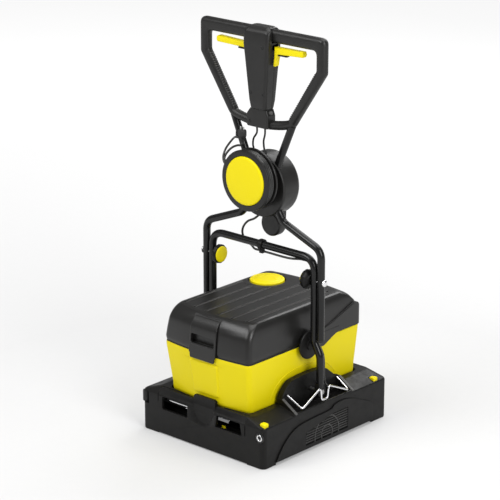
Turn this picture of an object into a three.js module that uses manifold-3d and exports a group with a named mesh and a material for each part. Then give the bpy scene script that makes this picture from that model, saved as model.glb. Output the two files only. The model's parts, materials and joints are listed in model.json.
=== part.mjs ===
// Walk-behind floor scrubber with two brush rollers, a tank on a low deck and a folding push handle.
// Millimetres, +Z up. Origin on the floor under the centre of the deck.
// X is the working width, -Y is the front with the lid latch.
import * as THREE from 'three';
import { mergeVertices } from 'three/addons/utils/BufferGeometryUtils.js';
import Module from 'manifold-3d';

const wasm = await Module();
wasm.setup();

// ---- driving dimensions ----------------------------------------------------------------
const GAP = 0.3; // between pieces that rest on each other
const SIDES = [-1, 1];

const DECK_X = 233; // half width of the deck shell
const DECK_Y = 268; // half length of the deck shell
const COVER_X = 237; // outer face of the side covers
const WALL_TOP = 121; // top of the upright deck walls
const RIM_X = 178; // where the sloping shoulders meet the rim round the tank seat
const RIM_Y = 257;
const RIM_TOP = 138;
const SEAT_Z = 128; // the tank stands here
const CAVITY_TOP = 106;
const BAY = { front: -125, rear: 110, inner: 181, outer: 226, floor: 112 };
const SADDLE_TOP = 157;

const BRUSH_Y = 58; // the two brush rollers
const BRUSH_Z = 51;
const BRUSH_R = 50;
const BRUSH_END = 198;
const PULLEY_X = 208;
const MOTOR_Y = 150;
const MOTOR_Z = 62;
const SQUEEGEE_Y = 215;

const TANK = { bottom: 128.5, top: 280 };
const LID = { bottom: 283, top: 389, flapX: 166, bandX: 165 };
// the plan of the joint between tank and lid
const TANK_PLAN = { x: 161, front: 250, rear: 230, bowFront: 11, bowRear: 10, r: 17 };
const CAP = { x: -84, y: 101, r: 51, seat: 382.5, top: 394 };

const FRAME_Y = -12; // plane of the push frame
const TUBE_R = 11;
const INNER_X = 193; // legs of the lower frame
const OUTER_X = 216; // legs of the push tubes and feet of the lower frame
const PIVOT_Z = 155; // the frame tilts here
const CROSS_Z = 541; // cross tube of the lower frame
const FOLD_Z = 477; // the handle folds here
const DISC_Z = 285;
const WIRE_X = 232; // plane of the sprung wires, just outside the legs

const REEL_Z = 743;
const REEL_R = 87.5;
const REEL_FRONT = -87;
const HANDLE_TOP = 1166;
const BAR_BOTTOM = 1128;
const HOUSING_BOTTOM = 938;

// ---- geometry helpers ------------------------------------------------------------------

// Keep positions only, merge shared corners and make the faces point out.
function closed(geometry) {
  let bare = geometry.clone();
  bare.deleteAttribute('normal');
  bare.deleteAttribute('uv');
  bare = mergeVertices(bare, 1e-4);
  const position = bare.attributes.position;
  const index = Array.from(bare.index.array);
  const a = new THREE.Vector3();
  const b = new THREE.Vector3();
  const c = new THREE.Vector3();
  let volume = 0;
  for (let i = 0; i < index.length; i += 3) {
    a.fromBufferAttribute(position, index[i]);
    b.fromBufferAttribute(position, index[i + 1]);
    c.fromBufferAttribute(position, index[i + 2]);
    volume += a.dot(b.cross(c));
  }
  if (volume < 0) index.reverse();
  bare.setIndex(index);
  return bare;
}

function toSolid(geometry) {
  const bare = closed(geometry);
  return new wasm.Manifold(new wasm.Mesh({
    numProp: 3,
    vertProperties: new Float32Array(bare.attributes.position.array),
    triVerts: new Uint32Array(bare.index.array),
  }));
}

function fromSolid(solid) {
  const mesh = solid.getMesh();
  const geometry = new THREE.BufferGeometry();
  const corners = new Float32Array(mesh.vertProperties);
  geometry.setAttribute('position', new THREE.BufferAttribute(corners, 3));
  geometry.setIndex(Array.from(mesh.triVerts));
  return geometry;
}

function cut(body, ...tools) {
  return fromSolid(tools.reduce((solid, tool) => solid.subtract(toSolid(tool)), toSolid(body)));
}

function join(...pieces) {
  return fromSolid(pieces.map(toSolid).reduce((solid, piece) => solid.add(piece)));
}

function common(first, second) {
  return fromSolid(toSolid(first).intersect(toSolid(second)));
}

function box(x0, x1, y0, y1, z0, z1) {
  const geometry = new THREE.BoxGeometry(Math.abs(x1 - x0), Math.abs(y1 - y0), Math.abs(z1 - z0));
  geometry.translate((x0 + x1) / 2, (y0 + y1) / 2, (z0 + z1) / 2);
  return geometry;
}

// Swap local (u, v, w) so that w runs along the named axis.
function along(geometry, axis) {
  const position = geometry.attributes.position;
  for (let i = 0; i < position.count; i += 1) {
    const u = position.getX(i);
    const v = position.getY(i);
    const w = position.getZ(i);
    if (axis === 'x') position.setXYZ(i, w, u, v);
    if (axis === 'y') position.setXYZ(i, u, w, v);
  }
  return closed(geometry);
}

// A straight extrusion of an outline: (y, z) along x, (x, z) along y, or (x, y) along z.
function plate(axis, outline, from, to, holes = []) {
  const shape = new THREE.Shape(outline.map(([u, v]) => new THREE.Vector2(u, v)));
  for (const hole of holes) shape.holes.push(new THREE.Path(hole.map(([u, v]) => new THREE.Vector2(u, v))));
  const geometry = new THREE.ExtrudeGeometry(shape, { depth: to - from, bevelEnabled: false });
  geometry.translate(0, 0, from);
  return along(geometry, axis);
}

// A turned piece. The profile is [radius, distance along the axis].
function turned(axis, centre, profile, sides = 24) {
  const points = profile.map(([r, d]) => new THREE.Vector2(r, d));
  const geometry = new THREE.LatheGeometry(points, sides);
  if (axis === 'x') geometry.rotateZ(-Math.PI / 2);
  if (axis === 'z') geometry.rotateX(Math.PI / 2);
  geometry.translate(...centre);
  return closed(geometry);
}

// The same turned piece on the left (-1) or the right (+1).
function turnedOnSide(s, z, profile, sides) {
  return turned('x', [0, FRAME_Y, z], profile.map(([r, d]) => [r, s * d]), sides);
}

// An extrusion along x between two distances from the middle, on the left or the right.
function plateOnSide(s, outline, near, far) {
  return plate('x', outline, Math.min(s * near, s * far), Math.max(s * near, s * far));
}

function rod(axis, centre, radius, from, to, sides = 16) {
  return turned(axis, centre, [[0, from], [radius, from], [radius, to], [0, to]], sides);
}

function circlePoints(u, v, radius, count, start = 0, sweep = 2 * Math.PI) {
  const last = sweep === 2 * Math.PI ? count : count - 1;
  return Array.from({ length: count }, (_, i) => {
    const angle = start + (sweep * i) / last;
    return [u + radius * Math.cos(angle), v + radius * Math.sin(angle)];
  });
}

function roundedRectangle(halfU, halfV, radius, centreU = 0, centreV = 0, steps = 4) {
  const corners = [[1, 1], [-1, 1], [-1, -1], [1, -1]];
  return corners.flatMap(([su, sv], i) => circlePoints(
    centreU + su * (halfU - radius), centreV + sv * (halfV - radius),
    radius, steps, (i * Math.PI) / 2, Math.PI / 2));
}

// A rounded rectangle whose front and rear edges bow outwards between the corners.
function bowedRectangle({ x, front, rear, bowFront, bowRear, r }, steps = 4) {
  const flat = x - r;
  const points = [];
  for (const [corner, [sx, sy]] of [[1, 1], [-1, 1], [-1, -1], [1, -1]].entries()) {
    const edge = sy > 0 ? rear : front;
    points.push(...circlePoints(sx * flat, sy * (edge - r), r, steps, (corner * Math.PI) / 2, Math.PI / 2));
    if (corner % 2) continue;
    const bow = sy > 0 ? bowRear : bowFront;
    for (const share of [0.75, 0.5, 0.25, 0, -0.25, -0.5, -0.75]) {
      points.push([sx * share * flat, sy * (edge + bow * (1 - share * share))]);
    }
  }
  return points;
}

// A body through level rings of equal length, with flat ends.
function stacked(rings) {
  const count = rings[0].length;
  const index = [];
  for (let k = 0; k + 1 < rings.length; k += 1) {
    for (let i = 0; i < count; i += 1) {
      const j = (i + 1) % count;
      const a = k * count + i;
      const b = k * count + j;
      index.push(a, b, b + count, a, b + count, a + count);
    }
  }
  const top = (rings.length - 1) * count;
  for (let i = 1; i + 1 < count; i += 1) {
    index.push(0, i + 1, i);
    index.push(top, top + i, top + i + 1);
  }
  const geometry = new THREE.BufferGeometry();
  geometry.setAttribute('position', new THREE.Float32BufferAttribute(rings.flat(2), 3));
  geometry.setIndex(index);
  return closed(geometry);
}

// A body through level rounded rectangles: each section is {z, x, y, r, cx, cy}.
function loft(sections, steps = 4) {
  return stacked(sections.map((s) => roundedRectangle(s.x, s.y, s.r, s.cx ?? 0, s.cy ?? 0, steps)
    .map(([u, v]) => [u, v, s.z])));
}

// A body through level bowed rectangles: each section is [z, x, front, rear, bowFront, bowRear, r].
function bowedLoft(sections) {
  return stacked(sections.map(([z, x, front, rear, bowFront, bowRear, r]) => (
    bowedRectangle({ x, front, rear, bowFront, bowRear, r }).map(([u, v]) => [u, v, z]))));
}

// A route of straight stretches with rounded corners; its stations lie only where it bends.
class BentRoute extends THREE.Curve {
  constructor(corners, radius, bendSteps = 5) {
    super();
    const points = corners.map((corner) => new THREE.Vector3(...corner));
    this.stations = [points[0]];
    for (let i = 1; i + 1 < points.length; i += 1) {
      const back = points[i - 1].clone().sub(points[i]);
      const ahead = points[i + 1].clone().sub(points[i]);
      const turn = Math.PI - back.angleTo(ahead);
      const reach = Math.min(radius * Math.tan(turn / 2), back.length() * 0.49, ahead.length() * 0.49);
      const start = points[i].clone().addScaledVector(back.normalize(), reach);
      const end = points[i].clone().addScaledVector(ahead.normalize(), reach);
      const bend = new THREE.QuadraticBezierCurve3(start, points[i], end);
      this.stations.push(...bend.getPoints(bendSteps));
    }
    this.stations.push(points[points.length - 1]);
  }

  getUtoTmapping(u) {
    return u;
  }

  getPoint(t, target = new THREE.Vector3()) {
    const place = Math.min(Math.max(t, 0), 1) * (this.stations.length - 1);
    const k = Math.min(Math.floor(place), this.stations.length - 2);
    return target.lerpVectors(this.stations[k], this.stations[k + 1], place - k);
  }
}

function sweep(route, section, steps) {
  const shape = new THREE.Shape(section.map(([u, v]) => new THREE.Vector2(u, v)));
  return closed(new THREE.ExtrudeGeometry(shape, { extrudePath: route, steps, bevelEnabled: false }));
}

function bentTube(corners, radius, bendRadius, sides = 10, bendSteps = 4) {
  const route = new BentRoute(corners, bendRadius, bendSteps);
  return sweep(route, circlePoints(0, 0, radius, sides), route.stations.length - 1);
}

// A cord through hand-picked points on one smooth curve.
function cord(points, radius, steps, sides = 8) {
  const stops = points.map((point) => new THREE.Vector3(...point));
  const route = new THREE.CatmullRomCurve3(stops, false, 'centripetal');
  return sweep(route, circlePoints(0, 0, radius, sides), steps);
}

// ---- materials -------------------------------------------------------------------------
const looks = {
  plastic: { color: 0x2e2d2b, roughness: 0.55, metalness: 0 },
  lidPlastic: { color: 0x383735, roughness: 0.5, metalness: 0 },
  yellow: { color: 0xe8da1e, roughness: 0.42, metalness: 0 },
  paint: { color: 0x0c0c0d, roughness: 0.25, metalness: 0.2 },
  chrome: { color: 0xd8d8d8, roughness: 0.12, metalness: 1 },
  steel: { color: 0x9a9a98, roughness: 0.35, metalness: 1 },
  rubber: { color: 0x161616, roughness: 0.8, metalness: 0 },
  bristle: { color: 0x6f7478, roughness: 0.85, metalness: 0 },
  cord: { color: 0x1b1b1b, roughness: 0.6, metalness: 0 },
};

const machine = new THREE.Group();
machine.name = 'floor_scrubber';

function piece(name, look, geometry) {
  const mesh = new THREE.Mesh(geometry, new THREE.MeshStandardMaterial(looks[look]));
  mesh.name = name;
  machine.add(mesh);
}

const sideName = (s) => (s < 0 ? 'left' : 'right');

// ---- deck ------------------------------------------------------------------------------
const BUTTON = { x0: 209, x1: 228, z0: 115, top: 131 };
const BUTTON_Y = { front: [-258, -240], rear: [214, 232] };
const DEFLECTOR = { x: -226.5, y: -257.5, r: 10, z0: 82, z1: 115 };
const RING = { x: 216, z: 91 };
const TOWER_ARCH = [
  [-132, 120], [-132, 162], [-125, 173], [-112, 187], [-94, 198], [-60, 202],
  [0, 203], [53, 197], [73, 183], [94, 167], [117, 155], [117, 120],
];

function deckShell() {
  const outer = loft([
    { z: 0, x: DECK_X, y: DECK_Y, r: 16 },
    { z: WALL_TOP, x: DECK_X, y: DECK_Y, r: 16 },
    { z: RIM_TOP, x: RIM_X, y: RIM_Y, r: 22 },
  ]);
  const added = [
    plate('y', [[-40, 100], [46, 100], [46, 150], [42, 154], [-31, 154], [-36, 149]], -262, -247),
  ];
  for (const s of SIDES) {
    const saddle = [[DECK_X, 100], [DECK_X, 125], [181, SADDLE_TOP], [162, SADDLE_TOP], [162, 100]]
      .map(([x, z]) => [s * x, z]);
    added.push(plate('y', saddle, BAY.front - 9, BAY.rear + 9));
    added.push(plateOnSide(s, TOWER_ARCH, 162, 181));
  }
  const tools = [
    box(-225, 225, -258, 258, -1, CAVITY_TOP),
    box(-150, 150, -230, 230, CAVITY_TOP - 1, SEAT_Z - 6),
    bowedLoft([[SEAT_Z, 154.5, 237, 226, 13, 10, 18], [260, 164, 252, 241, 13, 10, 18]]),
    box(-170, 170, -270, 270, -1, 3),
    // front wall: two openings and the round-bottomed hand recess
    box(-154, -56, -270, -255, 77, 115),
    plate('y', [[52, 80], [151, 80], [144, 115], [58, 115]], -270, -255),
    box(-156, 154, -258, -225, 60, 117),
    plate('y', [[-44, 130], ...circlePoints(3, 110, 47, 9, Math.PI, Math.PI), [50, 130]], -270, -263),
    rod('y', [RING.x, 0, RING.z], 15, -270, -263),
    box(-240, -207, -270, -240, 81, 116),
  ];
  for (const s of SIDES) {
    tools.push(box(s * 200, s * 240, -215, 200, -1, 8));
    tools.push(box(s * BAY.inner, s * BAY.outer, BAY.front, BAY.rear, BAY.floor, 230));
    tools.push(box(s * BAY.outer, s * 240, BAY.front + 4, BAY.rear - 4, 127, 160));
  }
  tools.push(box(224, 234, -92, 86, 24, 84));
  for (const [y0, y1] of Object.values(BUTTON_Y)) {
    tools.push(box(BUTTON.x0 - 1, BUTTON.x1 + 1, y0 - 1, y1 + 1, 110.5, 160));
  }
  const shell = cut(join(outer, ...added), ...tools);
  // the post that the deflector roller turns on
  return join(shell, rod('z', [DEFLECTOR.x, DEFLECTOR.y, 0], 4, 79, 118.5, 12));
}

// The raised cover on each side: rises from the front foot, peaks behind the middle, falls to the rear.
const COVER_OUTLINE = [
  [-219, 9], [-200, 36], [-175, 62], [-148, 80], [-118, 90], [-60, 96], [20, 100], [30, 107],
  [67, 111], [110, 103], [150, 87], [180, 74], [192, 67], [199, 58], [200, 40], [200, 9],
];

function sideCover(s, grille) {
  const panel = plateOnSide(s, COVER_OUTLINE, DECK_X + GAP, COVER_X);
  if (!grille) return panel;
  const slots = [];
  for (let row = 0; row < 8; row += 1) {
    const z = 26 + row * 7.2;
    // the front top corner of the grille is cut off aslant
    const front = -90 + 4.4 * Math.max(0, z - 54);
    if (front < -16) slots.push(box(230, 240, front, -6, z, z + 4));
    slots.push(box(230, 240, Math.max(6, front), 84, z, z + 4));
  }
  return cut(panel, ...slots);
}

piece('deck_shell', 'plastic', deckShell());
piece('drive_cover', 'plastic', sideCover(1, true));
piece('side_cover_left', 'plastic', sideCover(-1, false));
piece('eyelet_ring', 'chrome', turned('y', [RING.x, 0, RING.z],
  [[7, -267.5], [11.5, -267.5], [12.5, -265.5], [11.5, -263.5], [7, -263.5], [7, -267.5]], 20));
piece('water_feed_pipe', 'steel', rod('x', [0, -251, 103.5], 3.5, -155.6, -40, 12));
piece('deflector_roller', 'rubber', turned('z', [DEFLECTOR.x, DEFLECTOR.y, 0],
  [
    [4.5, DEFLECTOR.z0], [DEFLECTOR.r - 0.5, DEFLECTOR.z0], [DEFLECTOR.r, DEFLECTOR.z0 + 2],
    [DEFLECTOR.r, DEFLECTOR.z1 - 2], [DEFLECTOR.r - 0.5, DEFLECTOR.z1], [4.5, DEFLECTOR.z1],
    [4.5, DEFLECTOR.z0],
  ], 20));
for (const [place, [y0, y1]] of Object.entries(BUTTON_Y)) {
  const centre = { cx: (BUTTON.x0 + BUTTON.x1) / 2, cy: (y0 + y1) / 2 };
  piece(`corner_button_${place}`, 'yellow', loft([
    { z: BUTTON.z0, x: 9.5, y: 9, r: 3, ...centre },
    { z: BUTTON.top - 2, x: 9.5, y: 9, r: 3, ...centre },
    { z: BUTTON.top, x: 8, y: 7.5, r: 3, ...centre },
  ]));
}

// ---- drive inside the deck -------------------------------------------------------------
const BRUSH_ROWS = 12;
for (const [place, y] of [['front', -BRUSH_Y], ['rear', BRUSH_Y]]) {
  const outline = Array.from({ length: BRUSH_ROWS * 2 }, (_, i) => {
    const radius = i % 2 ? BRUSH_R - 5 : BRUSH_R;
    const angle = (Math.PI * i) / BRUSH_ROWS + 0.13;
    return [y + radius * Math.cos(angle), BRUSH_Z + radius * Math.sin(angle)];
  });
  const bore = circlePoints(y, BRUSH_Z, 16.8, 16);
  piece(`brush_roller_${place}`, 'bristle', plate('x', outline, -BRUSH_END, BRUSH_END, [bore]));
  piece(`brush_shaft_${place}`, 'steel', turned('x', [0, y, BRUSH_Z],
    [[0, -210], [8, -210], [8, -199], [16, -199], [16, 199], [8, 199], [8, PULLEY_X], [20, PULLEY_X],
      [20, PULLEY_X + 10], [0, PULLEY_X + 10]], 16));
  const s = Math.sign(y);
  piece(`squeegee_${place}`, 'plastic', box(-205, 205, s * SQUEEGEE_Y - 8, s * SQUEEGEE_Y + 8, 42, 70));
  piece(`squeegee_lip_${place}`, 'rubber', loft([
    { z: 8, x: 208, y: 1.5, r: 1, cy: s * SQUEEGEE_Y },
    { z: 41.7, x: 208, y: 4, r: 1, cy: s * SQUEEGEE_Y },
  ], 2));
}
piece('brush_motor', 'steel', turned('x', [0, MOTOR_Y, MOTOR_Z],
  [[0, -120], [20, -120], [24, -110], [40, -100], [40, 60], [32, 72], [0, 72]], 20));
piece('motor_pulley', 'steel', turned('x', [0, MOTOR_Y, MOTOR_Z],
  [[0, 73], [5, 73], [5, PULLEY_X], [14, PULLEY_X], [14, PULLEY_X + 10], [0, PULLEY_X + 10]], 16));
piece('suction_turbine', 'plastic', turned('z', [60, -157, 0],
  [[0, 24], [40, 24], [44, 30], [44, 60], [28, 66], [28, 92], [0, 92]], 20));

// The belt is a loop round the motor pulley and the rear brush pulley.
function beltOutline(extra) {
  const rear = circlePoints(BRUSH_Y, BRUSH_Z, 20 + extra, 11, Math.PI / 2 + 0.02, Math.PI);
  const motor = circlePoints(MOTOR_Y, MOTOR_Z, 14 + extra, 9, -Math.PI / 2 + 0.19, Math.PI - 0.13);
  return [...rear, ...motor];
}
piece('drive_belt', 'rubber', plate('x', beltOutline(3), PULLEY_X + 1, PULLEY_X + 9, [beltOutline(0.5)]));

// ---- tank, lid and their fittings ------------------------------------------------------
const joint = (z, inset = 0) => [z, TANK_PLAN.x - inset, TANK_PLAN.front - inset, TANK_PLAN.rear - inset,
  TANK_PLAN.bowFront, TANK_PLAN.bowRear, TANK_PLAN.r - inset];

function tankShell() {
  const outer = bowedLoft([
    [TANK.bottom, 146, 228, 218, 10, 8, 14],
    [134, 150, 232, 222, 13, 10, 16],
    [141, 151.5, 233.5, 223, 13, 10, 17],
    [155, 151.5, 234, 223, 12.5, 10, 17],
    joint(TANK.top - 12, 0.5),
    joint(TANK.top),
  ]);
  const frontPanel = loft([
    { z: 157, x: 46, y: 14, r: 4, cy: -234 },
    { z: 161, x: 48, y: 15, r: 4, cy: -234 },
    { z: 255, x: 53, y: 20, r: 4, cy: -241.5 },
    { z: 259, x: 52, y: 17, r: 4, cy: -240.5 },
  ], 2);
  const inner = bowedLoft([
    [TANK.bottom + 5, 141, 223, 213, 10, 8, 12],
    [155, 146, 228, 218, 12, 9, 13],
    joint(TANK.top + 1, 5),
  ]);
  return cut(join(outer, frontPanel), inner);
}

const GROOVES = { count: 6, first: 112, pitch: 47.8, rear: 140, land: 72 };

function lidShell() {
  const body = bowedLoft([
    joint(LID.bottom),
    joint(300),
    [345, 156.5, 243, 222, 12, 9, 17],
    [362, 154, 236, 209, 14, 9, 18],
    [374, 150.5, 227, 196, 16, 10, 20],
    [382, 146, 218, 182, 18, 11, 22],
    [387, 140, 209, 170, 20, 12, 23],
    [LID.top, 130, 198, 158, 21, 12, 22],
  ]);
  // an upright band rises along both sides and wraps round the rear
  const bandOutline = [
    [30, LID.bottom], [30, 300], [71, 309], [115, 322], [154, 335], [206, 352], [214, 350],
    [226, 338], [245, 330], [245, LID.bottom],
  ];
  const band = common(plate('x', bandOutline, -LID.bandX, LID.bandX), bowedLoft([
    [LID.bottom, LID.bandX, 200, 231, 10, 10, 18], [360, LID.bandX, 200, 231, 10, 10, 18]]));
  // a flap hangs over each side of the tank
  const flapOutline = [[30, 300], [30, 258], [64, 258], [112, 279], [130, 284], [130, 300]];
  const flaps = SIDES.map((s) => plateOnSide(s, flapOutline, 157, LID.flapX));
  const lines = [];
  for (let k = 0; k < GROOVES.count; k += 1) {
    const x = GROOVES.first - k * GROOVES.pitch;
    const front = 200 + 20 * (1 - (x / 130) ** 2);
    lines.push(box(x - 3, x + 3, -front, GROOVES.rear, LID.top - 2.5, LID.top + 9));
  }
  const grooves = cut(join(...lines), rod('z', [CAP.x, CAP.y, 0], GROOVES.land, 370, 400, 32));
  const hollow = bowedLoft([
    [250, 155, 236, 224, 8, 9, 12],
    [300, 155, 236, 224, 8, 9, 12],
    [345, 150, 229, 215, 9, 8, 14],
    [365, 145, 218, 198, 10, 8, 16],
    [377, 139, 206, 180, 12, 9, 18],
  ]);
  // the flap stands outside the tank, so the space behind it is cut too
  const behindFlaps = box(-162.3, 162.3, 0, 140, 250, LID.bottom);
  const latchRecess = loft([
    { z: 262, x: 53, y: 6, r: 1, cy: -267.6 },
    { z: 283, x: 53, y: 6, r: 1, cy: -266.4 },
    { z: 345, x: 52, y: 6, r: 1, cy: -260.1 },
    { z: 362, x: 51, y: 6, r: 1, cy: -255.1 },
    { z: 374, x: 50, y: 6, r: 1, cy: -248.1 },
    { z: 384, x: 49, y: 6, r: 1, cy: -238.5 },
  ], 2);
  const fingerPocket = box(-44, 44, -264, -250.5, 309, 333);
  return cut(join(body, band, ...flaps), hollow, behindFlaps, grooves, latchRecess, fingerPocket,
    rod('z', [CAP.x, CAP.y, 0], CAP.r + 3, CAP.seat, 400, 32));
}

piece('tank', 'yellow', tankShell());
const sealRing = (inset) => bowedRectangle({
  ...TANK_PLAN,
  x: TANK_PLAN.x - inset,
  front: TANK_PLAN.front - inset,
  rear: TANK_PLAN.rear - inset,
  r: TANK_PLAN.r - inset,
});
piece('lid_seal', 'rubber', plate('z', sealRing(1), TANK.top + GAP, LID.bottom - GAP, [sealRing(4.5)]));
piece('lid', 'lidPlastic', lidShell());
piece('filler_cap', 'yellow', turned('z', [CAP.x, CAP.y, 0], [
  [0, CAP.seat + GAP], [CAP.r, CAP.seat + GAP], [CAP.r, CAP.top - 4], [CAP.r - 2, CAP.top - 1],
  [CAP.r - 8, CAP.top], [0, CAP.top],
], 32));
piece('filter_basket', 'plastic', turned('z', [CAP.x, CAP.y, 0],
  [[0, 305], [34, 305], [38, 376.5], [35, 376.5], [31, 308], [0, 308]], 16));

function lidLatch() {
  const body = loft([
    { z: 264, x: 45, y: 2.4, r: 2, cy: -264.8 },
    { z: 270, x: 49, y: 2.7, r: 2, cy: -264.7 },
    { z: 283, x: 50, y: 2.7, r: 2, cy: -263.9 },
    { z: 345, x: 49, y: 2.7, r: 2, cy: -257.6 },
    { z: 362, x: 48, y: 2.7, r: 2, cy: -252.6 },
    { z: 374, x: 47, y: 2.7, r: 2, cy: -245.6 },
    { z: 381, x: 46, y: 2, r: 1.5, cy: -239.6 },
  ], 2);
  const grip = plate('y', roundedRectangle(43, 11, 5, 0, 321), -275, -235);
  return cut(body, grip);
}
piece('lid_latch', 'lidPlastic', lidLatch());

// ---- lower frame -----------------------------------------------------------------------
function lowerFrame() {
  const half = [[OUTER_X, 172], [OUTER_X, 258], [INNER_X, 300], [INNER_X, CROSS_Z]]
    .map(([x, z]) => [x, FRAME_Y, z]);
  const mirrored = half.map(([x, y, z]) => [-x, y, z]).reverse();
  const tube = bentTube([...half, ...mirrored], TUBE_R, 44);
  // each leg ends in a flattened lug that turns on its pivot pin
  const lug = [
    ...circlePoints(FRAME_Y, PIVOT_Z, 16, 9, Math.PI, Math.PI), [FRAME_Y + 11, 178], [FRAME_Y - 11, 178],
  ];
  const feet = SIDES.map((s) => plateOnSide(s, lug, 207, 224));
  return cut(join(tube, ...feet), rod('x', [0, FRAME_Y, FOLD_Z], 5, -240, 240, 12),
    rod('x', [0, FRAME_Y, PIVOT_Z], 6, -240, 240, 12));
}
piece('lower_frame', 'paint', lowerFrame());

for (const s of SIDES) {
  const name = sideName(s);
  const pin = [[0, 181.3], [5.5, 181.3], [5.5, 226], [0, 226]];
  piece(`pivot_pin_${name}`, 'steel', turnedOnSide(s, PIVOT_Z, pin, 12));
  const disc = [
    [0, 171.5], [40, 171.5], [42, 173], [42, 178], [40, 179.5], [14, 179.5], [14, 184], [0, 184],
  ];
  piece(`stop_disc_${name}`, 'plastic', turnedOnSide(s, DISC_Z, disc, 24));
  const bolt = [[0, 175], [4.5, 175], [4.5, 227.5], [9.5, 227.5], [8.5, 231.5], [5, 233.5], [0, 233.5]];
  piece(`fold_bolt_${name}`, 'chrome', turnedOnSide(s, FOLD_Z, bolt, 16));
  const knob = [
    [0, 160], [25, 160], [27.5, 163], [27.5, 172], [20, 176], [14, 181.6], [5, 181.6], [5, 174.5],
    [0, 174.5],
  ];
  piece(`clamp_knob_${name}`, 'plastic', turnedOnSide(s, FOLD_Z, knob, 20));
  const insert = [[0, 156], [19, 156.4], [23.5, 158], [23.5, 159.7], [0, 159.7]];
  piece(`knob_insert_${name}`, 'yellow', turnedOnSide(s, FOLD_Z, insert, 20));
  // the sprung wire that holds the foot upright: its ends turn in the deck tower
  const wire = [
    [184, -114, 163], [WIRE_X, -106, 133], [WIRE_X, FRAME_Y - 16, 174], [WIRE_X, FRAME_Y - 11, 135],
    [WIRE_X, FRAME_Y + 14, 135], [WIRE_X, FRAME_Y + 19, 172], [WIRE_X, 94, 132], [184, 100, 157],
  ];
  piece(`wire_bow_${name}`, 'chrome', bentTube(wire.map(([x, y, z]) => [s * x, y, z]), 2.8, 9, 6, 3));
}

// ---- push tubes and handle -------------------------------------------------------------
const pushRoute = (s) => [
  [s * OUTER_X, FRAME_Y, 306], [s * OUTER_X, FRAME_Y, 568], [s * 78, FRAME_Y, 622],
  [s * 58, FRAME_Y, 650], [s * 58, FRAME_Y, 790], [s * 108, FRAME_Y, 905],
];

for (const s of SIDES) {
  const tube = bentTube(pushRoute(s), TUBE_R, 40);
  piece(`push_tube_${sideName(s)}`, 'paint', cut(tube, rod('x', [0, FRAME_Y, FOLD_Z], 5, -240, 240, 12)));
}

// Outline of the left half of the handle loop, outside from the lower end up and then back inside.
const loopOutside = [
  [-121, 907], [-229, 1066], [-229, 1150], ...circlePoints(-213, 1150, 16, 4, Math.PI, -Math.PI / 2),
];
const loopInside = [
  [-96, 918], [-197, 1074], [-197, 1116], ...circlePoints(-185, 1116, 12, 3, Math.PI, -Math.PI / 2),
];

// An (x, z) outline extruded along y with rounded edges.
function roundedPlate(outline, from, to, edge, segments = 2) {
  const shape = new THREE.Shape(outline.map(([u, v]) => new THREE.Vector2(u, v)));
  const geometry = new THREE.ExtrudeGeometry(shape, {
    depth: to - from - 2 * edge,
    bevelEnabled: true,
    bevelSize: edge,
    bevelOffset: -edge,
    bevelThickness: edge,
    bevelSegments: segments,
  });
  geometry.translate(0, 0, from + edge);
  return along(geometry, 'y');
}

function handleLoop() {
  const mirror = (points) => points.map(([x, z]) => [-x, z]).reverse();
  const outside = [...loopOutside, ...mirror(loopOutside)];
  const inside = [...loopInside, ...mirror(loopInside)].reverse();
  const loop = roundedPlate([...outside, ...inside], FRAME_Y - 14, FRAME_Y + 14, 6);
  // the tubes end inside the two lower ends
  return cut(loop, ...SIDES.map((s) => bentTube(pushRoute(s), TUBE_R + GAP, 40)));
}

const BRACE = [[-86, 904], [-45, 895], [0, 892], [45, 895], [86, 904]].map(([x, z]) => [x, FRAME_Y, z]);
const BRACE_R = 11;
const CABLE_X = [-12, 18]; // two cables leave the bottom of the bracket under the switch housing
const CABLE_Y = -24;
const BRACKET_BOTTOM = 878;

const housingSections = (inset) => [
  { z: HOUSING_BOTTOM + inset, x: 27 - inset, y: 20 - inset, r: 8, cx: 2, cy: -18 },
  { z: 960, x: 31 - inset, y: 24 - inset, r: 9, cx: 2, cy: -18 },
  { z: 1120, x: 46 - inset, y: 30 - inset, r: 9, cx: -1, cy: -16 },
  { z: 1154 - inset, x: 47 - inset, y: 29 - inset, r: 10, cx: -1, cy: -15 },
];

function switchHousing() {
  const hood = loft([
    { z: 1150, x: 47, y: 29, r: 10, cx: -1, cy: -15 },
    { z: 1160, x: 45, y: 26, r: 12, cx: -1, cy: -14 },
    { z: HANDLE_TOP + 3, x: 36, y: 17, r: 12, cx: -1, cy: -12 },
  ]);
  const bar = box(-60, 60, FRAME_Y - 14.3, FRAME_Y + 14.3, BAR_BOTTOM - GAP, HANDLE_TOP + GAP);
  const hollow = loft(housingSections(4).slice(0, 3));
  return cut(join(loft(housingSections(0)), hood), hollow, bar);
}

// holds the brace under the switch housing
function handleBracket() {
  const body = loft([
    { z: BRACKET_BOTTOM, x: 37, y: 16, r: 4, cx: -5, cy: -15 },
    { z: BRACKET_BOTTOM + 3, x: 39.5, y: 18, r: 5, cx: -5, cy: -15 },
    { z: 921, x: 38.5, y: 18, r: 5, cx: -5, cy: -15 },
    { z: HOUSING_BOTTOM - GAP, x: 30, y: 17, r: 5, cx: -1, cy: -16 },
  ]);
  return cut(body, bentTube(BRACE, BRACE_R + GAP, 60, 10, 3));
}

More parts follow.
